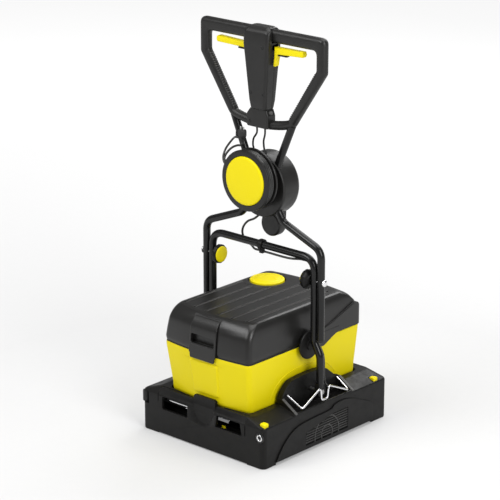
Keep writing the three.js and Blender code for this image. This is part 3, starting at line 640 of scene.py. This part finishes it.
# ---- tank and lid ------------------------------------------------------------------------
tank_low, tank_high = span("tank")
cap_low, cap_high = span("filler_cap")
TANK_TOP = tank_high.z
LID_BOTTOM = TANK_TOP + 3
LID_TOP = span("lid")[1].z
JOINT = (161, 250, 230, 11, 10, 17)


def joint(z, inset=0.0):
    """The plan of the joint between tank and lid, drawn in by the inset."""
    half_x, front, rear, bow_front, bow_rear, radius = JOINT
    return (z, half_x - inset, front - inset, rear - inset, bow_front, bow_rear, radius - inset)


def tank_side(z):
    """Half width of the tank at a height."""
    return 151.5 + 9.2 * max(0, z - 155) / 113


def add_tank():
    body = bowed_loft("tank_body", [
        (tank_low.z, 144, 226, 216, 10, 8, 13), (tank_low.z + 1.5, 147.5, 229.5, 219.5, 11, 8.5, 14),
        (134, 150, 232, 222, 12.5, 9.5, 16), (141, 151.5, 233.5, 223, 13, 10, 17),
        (155, 151.7, 234.1, 223.2, 13, 10, 17), joint(268, 0.5), joint(272, 0.2), joint(TANK_TOP - 0.8),
        joint(TANK_TOP, 0.8)])
    panel = loft("front panel", [
        (157, 44, 12, 4, 0, -233.6), (161, 48, 15, 5, 0, -234.3), (253, 53, 20, 5, 0, -241.6),
        (258, 51, 18, 5, 0, -240.5)], 6)
    weld(body, panel)
    inner = bowed_loft("tank hollow", [(133.5, 141, 223, 213, 10, 8, 12), (155, 146, 228, 218, 12, 9, 13),
                                       joint(TANK_TOP + 1, 5)])
    carve(body, inner)
    fit(soften(body, 1.0, 3, 40), "yellow", "tank", "tank")
    for s, name in SIDES:
        line = [(-148, 134), (-146, 160), (-134, 180), (-114, 198), (-88, 211), (-52, 217), (0, 218), (56, 212),
                (84, 200), (108, 180), (126, 160), (130, 134)]
        route = [Vector((s * (tank_side(p.z) - 0.3), p.y, p.z))
                 for p in smooth_route([(0, y, z) for y, z in line], 6)]
        fit(shade(tube(f"tank_ridge_{name}", route, 1.6, 10)), "yellow", "tank")


def add_lid():
    body = bowed_loft("lid_shell", [
        joint(LID_BOTTOM, 2.2), joint(LID_BOTTOM + 2, 1.9), joint(LID_BOTTOM + 5.5, 0.3), *between_sections([
            joint(291), joint(302), (345, 156.5, 243, 222, 12, 9, 17), (362, 154, 236, 209, 14, 9, 18),
            (374, 151, 228, 197, 16, 10, 20), (382, 147, 220, 185, 18, 11, 22),
            (387, 142.5, 212.5, 175, 20, 12, 22)], 4), (LID_TOP - 0.5, 137.5, 205.5, 166.5, 20.5, 12, 22),
        (LID_TOP, 136, 203.5, 164.5, 20.5, 12, 22)])
    crest = smooth_outline([(60, 307), (71, 309), (115, 322), (154, 335), (206, 352)])
    outline = [(30, LID_BOTTOM), (30, 300), *crest, (214, 350), (226, 338), (245, 330), (245, LID_BOTTOM)]
    band = extrude("band", outline, "x", -165, 165)
    combine(band, "INTERSECT", [bowed_loft("band plan", [(LID_BOTTOM, 165, 200, 231, 10, 10, 18),
                                                         (362, 165, 200, 231, 10, 10, 18)])])
    flap = [(30, 300), (30, 262), (34, 258), (62, 258), (72, 262), (104, 277), (120, 283), (130, 284),
            (130, 300)]
    weld(body, band, *[extrude("flap", flap, "x", *both(157, 166, s)) for s, _ in SIDES])
    tools = [
        bowed_loft("hollow", [(250, 155, 236, 224, 8, 9, 12), (300, 155, 236, 224, 8, 9, 12),
                              (345, 150, 229, 215, 9, 8, 14), (365, 145, 218, 198, 10, 8, 16),
                              (377, 139, 206, 180, 12, 9, 18)], 5),
        box("behind flaps", -162.3, 162.3, 0, 140, 250, LID_BOTTOM),
        loft("latch recess", [(262, 53, 6, 1.5, 0, -267.6), (283, 53, 6, 1.5, 0, -266.4),
                              (345, 52, 6, 1.5, 0, -260.1), (362, 51, 6, 1.5, 0, -255.1),
                              (374, 50, 6, 1.5, 0, -248.1), (384, 49, 6, 1.5, 0, -238.5)], 5),
        box("finger pocket", -46, 46, -264, -249, 306, 336),
    ]
    carve(body, *tools)
    centre = upright("filler_cap")
    lines = []
    for k in range(6):
        x = 112 - 47.8 * k
        front = 200 + 20 * (1 - (x / 130) ** 2)
        lines.append(loft("groove", [
            (LID_TOP - 3.2, 1.6, (139 + front) / 2, 1.5, x, (139 - front) / 2),
            (LID_TOP + 0.2, 4.2, (142 + front) / 2, 4.1, x, (142 - front) / 2),
            (LID_TOP + 6, 8, (150 + front) / 2, 7.9, x, (150 - front) / 2)], 5))
    grooves = join_pieces("grooves", lines)
    carve(grooves, turned("land", rod(72, 370, 400), "z", centre, 72))
    seat = [(0, 382.5), (53, 382.5), (55.5, LID_TOP + 1), (0, LID_TOP + 1)]
    carve(body, grooves, turned("cap seat", seat, "z", centre, 72))
    fit(soften(body, 0.8, 3, 34), "lid_black", "lid", "lid")
    # the beads' light grey is a painted highlight standing in for the lit edges of the top grooves
    beads = []
    for k in range(6):
        x = 115.6 - 47.8 * k
        front = 196 + 18 * (1 - (x / 130) ** 2)
        beads.append(tube("bead", [Vector((x, -front, LID_TOP - 1.5)), Vector((x, 6 - front, LID_TOP)),
                                   Vector((x, 126, LID_TOP)), Vector((x, 133, LID_TOP - 1.5))], 1.3, 10))
    beads = join_pieces("lid_beads", beads)
    carve(beads, turned("land", rod(72, 370, 400), "z", centre, 72))
    fit(shade(beads), "lid_grey", "lid")
    ring = [(70.6, LID_TOP - 0.4), (71.3, LID_TOP + 0.5), (72.7, LID_TOP + 0.5), (73.4, LID_TOP - 0.4)]
    ring = turned("land_edge", ring, "z", centre, 96)
    carve(ring, box("land cut", -160, 160, 104, 260, 380, 400),
          box("land side", -200, -120, -50, 260, 380, 400))
    fit(shade(ring), "lid_black", "lid")
    seam = extrude("seal_band", bowed(*joint(0, 1.4)[1:]), "z", TANK_TOP + 0.3, LID_BOTTOM - 0.3)
    carve(seam, extrude("seal hollow", bowed(*joint(0, 4.6)[1:]), "z", TANK_TOP - 2, LID_BOTTOM + 2))
    fit(shade(seam), "rubber", "lid", "lid_seal")


def add_latch_and_cap():
    latch = loft("latch_body", between_sections([
        (264, 43, 2.0, 1.8, 0, -264.8), (266, 45, 2.5, 2, 0, -264.8), (272, 46, 2.7, 2.2, 0, -264.6),
        (279, 46.5, 2.7, 2.2, 0, -264.1), (284, 50, 2.7, 2.2, 0, -263.8), (345, 49, 2.8, 2.2, 0, -257.6),
        (362, 48, 2.7, 2.2, 0, -252.6), (374, 47, 2.6, 2.2, 0, -245.6), (381, 46, 1.8, 1.5, 0, -239.6)], 3), 6)
    carve(latch, extrude("grip", rounded(43.5, 13, 4, (0, 321), 8), "y", -275, -235))
    fit(soften(latch, 0.8), "lid_black", "latch", "lid_latch")
    ledge = loft("latch_ledge", [(303.4, 43, 1.4, 1, 0, -263.6), (305, 43.5, 1.8, 1, 0, -263.6),
                                 (307, 43, 1.4, 1, 0, -263.4)], 4)
    fit(soften(ledge, 0.4), "lid_black", "latch")
    radius = (cap_high.x - cap_low.x) / 2
    top = cap_high.z
    profile = [(0, cap_low.z), (radius - 1, cap_low.z), (radius, cap_low.z + 1), (radius, top - 4.5),
               (radius - 0.5, top - 2.8), (radius - 2, top - 1.4), (radius - 5, top - 0.5),
               (radius - 9, top - 0.2), (radius - 10, top - 0.7), (radius - 11.2, top - 0.7),
               (radius - 12.2, top - 0.2), (20, top), (0, top)]
    disc = turned("cap_disc", profile, "z", upright("filler_cap"), 96)
    fit(shade(disc, 30), "yellow", "cap", "filler_cap")


# ---- lower frame and its fittings --------------------------------------------------------
FRAME_Y = -12
TUBE_R = 11
INNER_X = 193
OUTER_X = 216
PIVOT_Z = 155
CROSS_Z = 541
FOLD_Z = 477


def on_side(name, s, profile, z, sides=28, **lobes):
    """A turned piece about the sideways line at height z, mirrored for the left."""
    return turned(name, [(r, s * d) for r, d in profile], "x", (0, FRAME_Y, z), sides, **lobes)


def add_lower_frame():
    half = [(OUTER_X, FRAME_Y, 166), (OUTER_X, FRAME_Y, 258), (INNER_X, FRAME_Y, 300),
            (INNER_X, FRAME_Y, CROSS_Z)]
    route = bent_route(half + [(-x, y, z) for x, y, z in reversed(half)], 44, 12)
    frame_tube = tube("frame_tube", route, TUBE_R, 28)
    fit(shade(frame_tube), "black_paint", "lower_frame", "lower_frame")
    for s, name in SIDES:
        lug = arc(FRAME_Y, PIVOT_Z, 16, 21, math.pi, math.pi) + [(FRAME_Y + 12, 178), (FRAME_Y - 12, 178)]
        foot = extrude(f"foot_{name}", lug, "x", *both(207, 224, s))
        slots = [box("foot slot", *both(221.5, 226, s), FRAME_Y - 7, FRAME_Y + 7, z, z + 2.4)
                 for z in (143, 165, 171)]
        hole = on_side("pin hole", s, rod(6, 200, 230), PIVOT_Z)
        carve(foot, hole, *slots)
        fit(soften(foot, 1.2), "foot", "lower_frame")
        pin = [(0, 181.3), (5.5, 181.3), (5.5, 224.6), (7.5, 225), (7.5, 226.6), (6, 227.4), (0, 227.4)]
        fit(shade(on_side(f"pin_{name}", s, pin, PIVOT_Z)), "steel", "chassis", f"pivot_pin_{name}")
        low, high = span(f"stop_disc_{name}")
        radius = (high.z - low.z) / 2
        disc = [(0, 171.8), (radius - 6, 171.5), (radius - 1.6, 172), (radius, 174), (radius, 177.5),
                (radius - 1.6, 179.2), (15, 179.5), (14, 181), (14, 184), (0, 184)]
        disc = on_side(f"disc_{name}", s, disc, (low.z + high.z) / 2, 72)
        fit(shade(disc), "deck_black", "lower_frame", f"stop_disc_{name}")
        bolt = [(0, 175), (4.5, 175), (4.5, 227.5), (10, 227.5), (10.3, 228.5), (9.6, 230.6), (7.6, 232.4),
                (4, 233.4), (0, 233.6)]
        fit(shade(on_side(f"bolt_{name}", s, bolt, FOLD_Z, 32), 50), "chrome", "lower_frame",
            f"fold_bolt_{name}")
        knob = [(5, 181.6), (14, 181.6), (15, 178.5), (20, 176), (25.4, 173.6), (27.5, 171), (27.5, 164),
                (26.4, 161), (24, 160), (0, 160), (0, 174.5), (5, 174.5)]
        knob = on_side(f"knob_{name}", s, knob, FOLD_Z, 96, lobes=12, lobe_depth=0.018)
        fit(shade(knob), "deck_black", f"knob_{name}", f"clamp_knob_{name}")
        face = [(0, 159.7), (23.5, 159.7), (23.5, 158.4), (22.6, 157.3), (20, 156.6), (12, 156.2), (0, 156)]
        fit(shade(on_side(f"knob_face_{name}", s, face, FOLD_Z, 64), 50), "yellow", f"knob_{name}",
            f"knob_insert_{name}")
        x = 232
        wire = [(184, -114, 163), (x, -106, 133), (x, FRAME_Y - 16, 174), (x, FRAME_Y - 11, 135),
                (x, FRAME_Y + 14, 135), (x, FRAME_Y + 19, 172), (x, 94, 132), (184, 100, 157)]
        wire = tube(f"wire_{name}", bent_route([(s * a, b, c) for a, b, c in wire], 9, 8), 2.9, 16)
        fit(shade(wire), "chrome", f"wire_{name}", f"wire_bow_{name}")


def add_frame_cable():
    clip = [(11.2, -10), (15, -10), (15.6, -8), (15.6, 2), (15, 4), (11.2, 4)]
    fit(soften(turned("cable_clip", clip, "x", (0, FRAME_Y, CROSS_Z), 40), 0.5), "deck_black", "lower_frame")
    saddle = box("cable_saddle", -10, 4, FRAME_Y - 6, FRAME_Y + 6, 515.5, 527)
    fit(soften(saddle, 2.0), "deck_black", "lower_frame")
    route = [(-13, -12, 521.7), (20, -12, 521.7), (100, -11, 522), (140, -2, 525), (172, 4, 518), (190, 4, 492),
             (193, 4, 460), (193, 4, 330), (196, 4, 292), (214, 4, 256), (216, 5, 200), (213, 14, 172),
             (206, 40, 150), (196, 62, 136), (182, 74, 130)]
    lead = fit(cable("frame_lead", route, 3.2, steps=7), "cord", None, "frame_cable")
    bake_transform(lead)


# ---- push handle -------------------------------------------------------------------------
def push_route(s):
    corners = [(OUTER_X, 306), (OUTER_X, 568), (78, 622), (58, 650), (58, 790), (108, 905)]
    return bent_route([(s * x, FRAME_Y, z) for x, z in corners], 40, 12)


LOOP_OUTSIDE = bent_outline([(-121, 907), (-229, 1066), (-229, 1166), (0, 1166)], 20)[:-1]
LOOP_INSIDE = bent_outline([(-96, 918), (-197, 1074), (-197, 1128), (0, 1128)], 14)[:-1]


def mirrored(points):
    return [(-u, v) for u, v in reversed(points)]


def add_handle():
    for s, name in SIDES:
        push = tube(f"push_{name}", push_route(s), TUBE_R, 28)
        fit(shade(push), "black_paint", "upper_handle", f"push_tube_{name}")
        end = [(0, 302), (8, 302), (10.5, 303.5), (11.2, 306), (11.2, 308), (0, 308)]
        end = turned(f"tube_plug_{name}", end, "z", (s * OUTER_X, FRAME_Y, 0), 28)
        fit(shade(end), "plug", "upper_handle")
    outline = LOOP_OUTSIDE + mirrored(LOOP_OUTSIDE) + list(reversed(LOOP_INSIDE + mirrored(LOOP_INSIDE)))
    loop = pillow("grip_loop", outline, "y", FRAME_Y - 14, FRAME_Y + 14, 12.6)
    fit(shade(loop, 50), "case", "upper_handle", "handle_loop")
    # the ridges' light grey is a painted highlight along the inner edge of each leg
    for s, name in SIDES:
        ridges = []
        for k in range(25):
            share = k / 24
            x, z = -192 + 88 * share, 1064 - 136 * share
            ridges.append(tube("ridge", [Vector((s * -x, FRAME_Y + y, z)) for y in (-8.5, -7, 7, 8.5)],
                               lambda t: 0.8 if t in (0, 1) else 1.4, 8))
        fit(shade(join_pieces(f"leg_ridges_{name}", ridges)), "grey", "upper_handle")
    brace = [(-119, 926), (-108, 911), (-90, 904), (-45, 895.5), (0, 892), (45, 895.5), (90, 904), (108, 911),
             (119, 926)]
    fit(cable("brace", [(x, FRAME_Y, z) for x, z in brace], 13, 28), "brace", "upper_handle", "brace_tube")
    block = loft("bracket", [(884, 35.5, 14.5, 4, -5, -15), (886, 38.5, 17.2, 5, -5, -15),
                             (888.5, 39.5, 18, 5, -5, -15), (919, 39.5, 18, 5, -5, -15),
                             (923, 38, 18, 5, -4.4, -15.2), (937.7, 30, 17, 5, -1, -16)])
    carve(block, turned("screw well", rod(5, -34, -31), "y", (-28, 0, 900), 24))
    fit(soften(block, 0.8), "case", "upper_handle", "handle_bracket")
    cap = [(0, 28), (5.5, 28), (5.5, 35.5), (4.8, 37), (3, 38), (0, 38.2)]
    fit(shade(turned("bracket_bolt", cap, "x", (0, FRAME_Y - 6, 929), 28), 50), "grey", "upper_handle")
    for s, name in SIDES:
        dimple = [(0, -26.6), (2.6, -26.6), (3.4, -26.0), (3.4, -25), (0, -25)]
        fit(shade(turned(f"loop_screw_{name}", dimple, "y", (s * 212, 0, 1136), 20)), "seam", "upper_handle")


def housing_sections(inset):
    return [(938 + inset, 26 - inset, 18 - inset, 8, 2, -18), (941 + inset, 28 - inset, 21 - inset, 9, 2, -18),
            (962, 31 - inset, 24 - inset, 9, 2, -18), (1120, 46 - inset, 30 - inset, 9, -1, -16),
            (1152 - inset, 47 - inset, 29 - inset, 10, -1, -15)]


def add_switch_housing():
    def case(name, near, far):
        body = loft(name, housing_sections(0) + [(1160, 45.5, 26, 13, -1, -14), (1165, 42.5, 22, 13, -1, -13),
                                                 (1169, 35, 16, 12, -1, -12)], 10)
        cuts = [loft("case hollow", housing_sections(4)[1:4], 6),
                box("lever recess", 40, 60, FRAME_Y - 12, FRAME_Y + 10, 1000, 1124),
                box("bar space", -60, 60, FRAME_Y - 14.3, FRAME_Y + 14.3, 1127.7, 1166.3)]
        carve(body, *cuts)
        combine(body, "INTERSECT", [box("half", -70, 70, near, far, 900, 1200)])
        return soften(body, 1.0, 3, 36)

    for place, near, far in (("front", -80, FRAME_Y - 0.25), ("back", FRAME_Y + 0.25, 60)):
        fit(case(f"switch_case_{place}", near, far), "case", "upper_handle", f"switch_housing_{place}")
    for k, (x, z) in enumerate(((25, 1116), (-20, 984), (26, 984))):
        depth = -41.5 - 4.4 * (z - 962) / 158
        head = [(0, depth - 0.4), (1.6, depth - 0.4), (2.0, depth - 1.4), (4.2, depth - 1.8),
                (5.2, depth - 1.0), (5.4, depth + 1), (0, depth + 1)]
        fit(shade(turned(f"case_screw_{k}", head, "y", (x, 0, z), 24)), "seam", "upper_handle")


def add_triggers():
    left = [(-52, 1100), (-52, 1115), (-80, 1117), (-160, 1120), (-165, 1117), (-165, 1105), (-160, 1102)]
    right = [(49, 1090), (45.5, 1064), (52, 1064), (57, 1093), (62, 1099), (150, 1103), (153, 1110),
             (150, 1119), (50, 1118)]
    for (s, name), outline, strip in zip(SIDES, (left, right), ((52, 86), (60, 92))):
        lever = pillow(f"lever_{name}", outline, "y", FRAME_Y - 11, FRAME_Y + 8, 2.6, 4)
        fit(shade(lever, 50), "yellow", f"trigger_{name}", f"trigger_{name}")
        strip = box(f"lever_guard_{name}", *both(*strip, s), FRAME_Y - 8, FRAME_Y + 5, 1094.5, 1099)
        fit(soften(strip, 0.8), "deck_black", f"trigger_{name}")


# ---- cable reel --------------------------------------------------------------------------
REEL_Z = middle("reel_drum").z
REEL_CASE = (0, 0, 718)
REEL_FOOT = (10, 0, 598)


def winding_route():
    """Cord wound in layers, from the hub outwards, ending where the tail leaves it."""
    radius, pitch = 54.0, 6.5
    front, back = -75.2, -57.6
    turns = (back - front) / pitch
    route = []
    steps = 36
    for layer in range(5):
        for i in range(int(turns * steps) + 1):
            share = i / (turns * steps)
            y = front + (back - front) * (share if layer % 2 == 0 else 1 - share)
            angle = 2 * math.pi * (turns * layer + turns * share)
            route.append(Vector((radius * math.cos(angle), y, REEL_Z + radius * math.sin(angle))))
        radius += 6.6
    return route


def add_reel():
    centre = (0, 0, REEL_Z)
    bowl = turned("reel_case", [
        (0, 54), (50, 54), (60, 53.4), (70, 51.6), (79, 48.4), (85.5, 44), (90, 38), (92, 31), (92, -18),
        (91.3, -23), (89.5, -27), (0, -27)], "y", REEL_CASE, 96)
    foot = turned("reel foot", [(0, 42), (24, 42), (29.5, 40.6), (33.2, 37.4), (35, 33), (35, 13), (34, 9),
                                (31, 6), (0, 6)], "y", REEL_FOOT, 56)
    neck = pillow("reel neck", [(-22, 600), (42, 600), (45, 660), (-30, 660)], "y", 8, 41, 5, 4)
    weld(bowl, foot, neck)
    channels = [tube("tube channel", push_route(s), TUBE_R + 0.3, 24) for s, _ in SIDES]
    carve(bowl, *channels, turned("spindle space", rod(57, -28, 29.9), "y", centre, 64))
    fit(soften(bowl, 1.4, 3, 36), "case", "upper_handle", "reel_housing")
    spindle = [(0, -84), (8, -84), (8, -46.5), (30, -46.5), (30, -25), (18, -25), (18, 29.7), (0, 29.7)]
    fit(soften(turned("spindle", spindle, "y", centre, 48), 0.8), "steel", "upper_handle", "reel_spindle")
    drum = [(8.3, -81), (70, -81), (70, -85.4), (71.5, -87), (83.5, -87), (86.4, -86), (87.5, -83.6),
            (87.5, -80.6), (86.6, -79), (50, -79), (50, -54), (86.6, -54), (87.5, -52.6), (87.5, -49),
            (86, -47), (8.3, -47)]
    fit(shade(turned("drum", drum, "y", centre, 112), 30), "case", "reel", "reel_drum")
    ribs = []
    for k in range(12):
        angle = 2 * math.pi * (k + 0.5) / 12
        along, across = math.cos(angle), math.sin(angle)
        rib = [(reach * along - side * 1.4 * across, reach * across + side * 1.4 * along)
               for reach, side in ((34, 1), (82, 1), (82, -1), (34, -1))]
        ribs.append(extrude("rib", [(u, REEL_Z + v) for u, v in rib], "y", -47.2, -44.6))
    fit(shade(join_pieces("drum_ribs", ribs)), "deck_black", "reel")
    disc = [(0, -84.3), (69.4, -84.3), (69.6, -87.6), (68.8, -89.4), (66, -90.6), (60, -91.1), (0, -91.6)]
    fit(shade(turned("reel_face", disc, "y", centre, 112), 50), "yellow", "reel", "reel_disc")
    winding = tube("winding", winding_route(), 3.25, 8)
    fit(shade(winding, 60), "cord", "reel", "cord_winding")


def add_cables():
    x, y, z = -57, -35, 834
    body = [(0, z), (4.6, z), (5, z + 3), (5.6, z + 8), (9, z + 13), (11.4, z + 17), (12, z + 20), (12, z + 31),
            (11, z + 34.4), (9.5, z + 36), (0, z + 36)]
    fit(shade(turned("plug_body", body, "z", (x, y, 0), 40, 2, 0.06), 50), "rubber", "upper_handle",
        "mains_plug")
    for k, offset in enumerate((-5.5, 5.5)):
        pin = [(0, z + 35), (1.9, z + 35), (1.9, z + 43), (1.2, z + 44.4), (0, z + 44.6)]
        fit(shade(turned(f"plug_pin_{k}", pin, "z", (x + offset, y, 0), 20)), "steel", "upper_handle")
    tube_x = -58 - 50 * (z + 14 - 790) / 115
    clip = [(11.2, z + 6), (14.2, z + 6), (14.8, z + 8), (14.8, z + 20), (14.2, z + 22), (11.2, z + 22)]
    fit(soften(turned("plug_clip_ring", clip, "z", (tube_x, FRAME_Y, 0), 32), 0.6), "deck_black",
        "upper_handle")
    ends = [Vector((x - 4, y + 3, z + 16)), Vector((tube_x + 8, FRAME_Y - 8, z + 14))]
    fit(shade(tube("plug_clip_arm", ends, 4, 16)), "deck_black", "upper_handle")
    strand = [(-60, -38, 846), (-70, -45, 848), (-84, -38, 843), (-99, -36, 829), (-110, -45, 808),
              (-109, -57, 788), (-98, -65, 774), (-86, -66, 769)]
    fit(cable("tail_loop", strand, 3), "cord", "upper_handle")
    tail = [(-57, -35, 833.4), (-57, -35, 829), (-63, -34, 823.5), (-78, -33, 820), (-95, -37, 811),
            (-106, -48, 794), (-101, -61, 781), (-88, -66, 780)]
    fit(cable("tail", tail, 3.2), "cord", "upper_handle", "cord_tail")
    for (_, name), (top, bottom, end) in zip(SIDES, ((-12, -33, 804.8), (18, 8, 810.6))):
        route = [(top, -24, 888), (top, -24, 868), ((top + 2 * bottom) / 3, -22, 848), (bottom, -17, 828),
                 (bottom, -14, 816), (bottom, -14, end)]
        fit(cable(f"cable_{name}", route, 2.8), "cord", "upper_handle", f"handle_cable_{name}")
        gland = [(2.9, end - 3), (6.4, end - 3), (6.4, end + 1.5), (4.2, end + 8), (2.9, end + 8)]
        fit(shade(turned(f"gland_{name}", gland, "z", (bottom, -14, 0), 24)), "rubber", "upper_handle")
    route = [(-26, 10, 628), (-34, 10, 617), (-52, 10, 602), (-78, 10, 588), (-94, 10, 569), (-98, 10, 552),
             (-91, 10, 537), (-74, 8, 528), (-55, 3, 522.5), (-38, -7, 520.8), (-27, -12, 521.4),
             (-16, -12, 521.7)]
    lead = fit(cable("lead", route, 3.2), "cord", None, "reel_lead")
    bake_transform(lead)


# ---- drive, seen from below --------------------------------------------------------------
def add_brushes():
    chance = random.Random(7)
    for place in ("front", "rear"):
        centre = middle(f"brush_roller_{place}")
        low, high = span(f"brush_roller_{place}")
        core = [(16.3, low.x + 1), (36, low.x + 1), (37, low.x + 2), (37, high.x - 2), (36, high.x - 1),
                (16.3, high.x - 1)]
        core = turned(f"brush_core_{place}", core, "x", (0, centre.y, centre.z), 40)
        fit(shade(core), "core", f"brush_{place}", f"brush_roller_{place}")
        points, faces = [], []
        rows, columns = 18, 42
        for row in range(rows):
            for column in range(columns):
                x = low.x + 6 + (high.x - low.x - 12) * (column + 0.5 * (row % 2)) / (columns - 0.5)
                angle = 2 * math.pi * row / rows + 0.9 * column / columns
                lean = chance.uniform(-0.05, 0.05)
                start = len(points)
                for k in range(5):
                    around = 2 * math.pi * k / 5
                    for radius, wide in ((36, 2.2), (49.4, 3.2)):
                        turn = angle + (lean if radius > 40 else 0) + wide * math.sin(around) / radius
                        points.append((x + wide * math.cos(around), centre.y + radius * math.cos(turn),
                                       centre.z + radius * math.sin(turn)))
                ring = [start + 2 * k for k in range(5)]
                for k in range(5):
                    a, b = ring[k], ring[(k + 1) % 5]
                    faces.append((a, b, b + 1, a + 1))
                faces.append(tuple(r + 1 for r in ring))
                faces.append(tuple(reversed(ring)))
        fit(shade(make(f"brush_tufts_{place}", points, faces)), "bristle", f"brush_{place}")


def finish_plain_nodes():
    """Frame pieces that stay as they are get rounded edges and their material."""
    widths = {"squeegee_front": 1.5, "squeegee_rear": 1.5, "squeegee_lip_front": 0.4, "squeegee_lip_rear": 0.4,
              "brush_motor": 1.0, "motor_pulley": 0.6, "suction_turbine": 1.2, "drive_belt": 0.6,
              "brush_shaft_front": 0.6, "brush_shaft_rear": 0.6, "filter_basket": 0.5, "switch_block": 1.5}
    slots = {row["node"]: row["material_slot"] for row in frame["record"]["subparts"]}
    for name, width in widths.items():
        obj = frame["nodes"][name]
        bevel(obj, width, 2, "ANGLE")
        material = DARK if name == "suction_turbine" else FINISH[slots[name]]
        if obj.material_slots:
            for entry in obj.material_slots:
                entry.material = material
        else:
            obj.data.materials.append(material)


add_deck()
add_deck_trim()
add_covers()
add_tank()
add_lid()
add_latch_and_cap()
add_lower_frame()
add_frame_cable()
add_handle()
add_switch_housing()
add_triggers()
add_reel()
add_cables()
add_brushes()
finish_plain_nodes()


# ---- studio ------------------------------------------------------------------------------
def add_light(name, place, aim, size, power):
    data = bpy.data.lights.new(name, "AREA")
    data.shape = "RECTANGLE"
    data.size, data.size_y = size
    data.energy = power
    light = bpy.data.objects.new(name, data)
    light.location = place
    light.rotation_euler = (Vector(place) - Vector(aim)).to_track_quat("Z", "Y").to_euler()
    bpy.context.scene.collection.objects.link(light)


def add_studio():
    mesh = bpy.data.meshes.new("floor")
    reach = 30
    mesh.from_pydata([(-reach, -reach, 0), (reach, -reach, 0), (reach, reach, 0), (-reach, reach, 0)], [],
                     [(0, 1, 2, 3)])
    floor = bpy.data.objects.new("floor", mesh)
    bpy.context.scene.collection.objects.link(floor)
    pale = surface("pale floor", (0.50, 0.50, 0.50), 0.9, grain=200, bump=0.02, mottle=0.004)
    nodes, links = pale.node_tree.nodes, pale.node_tree.links
    preset(nodes["Principled BSDF"], Emission_Color=(1, 1, 1, 1))
    away = nodes.new("ShaderNodeVectorMath")
    away.operation = "LENGTH"
    links.new(nodes["Texture Coordinate"].outputs["Object"], away.inputs[0])
    glow = nodes.new("ShaderNodeMapRange")
    preset(glow, From_Min=1.0, From_Max=4.5, To_Min=0.20, To_Max=0.75)
    links.new(away.outputs["Value"], glow.inputs["Value"])
    links.new(glow.outputs["Result"], nodes["Principled BSDF"].inputs["Emission Strength"])
    mesh.materials.append(pale)
    world = bpy.data.worlds.new("studio")
    world.use_nodes = True
    preset(world.node_tree.nodes["Background"], Color=(1, 1, 1, 1), Strength=0.22)
    bpy.context.scene.world = world
    add_light("key", (-1.2, -2.8, 3.4), (0, 0, 0.4), (2.6, 2.2), 115)
    add_light("top", (0.3, 0.6, 4.2), (0, 0, 0.3), (3.0, 3.0), 108)
    add_light("fill", (3.4, -0.9, 2.4), (0, 0, 0.4), (1.8, 2.4), 95)
    add_light("back", (-0.6, 3.2, 2.8), (0, 0, 0.5), (2.8, 1.6), 60)
    bpy.context.scene.view_settings.view_transform = "Standard"


add_studio()
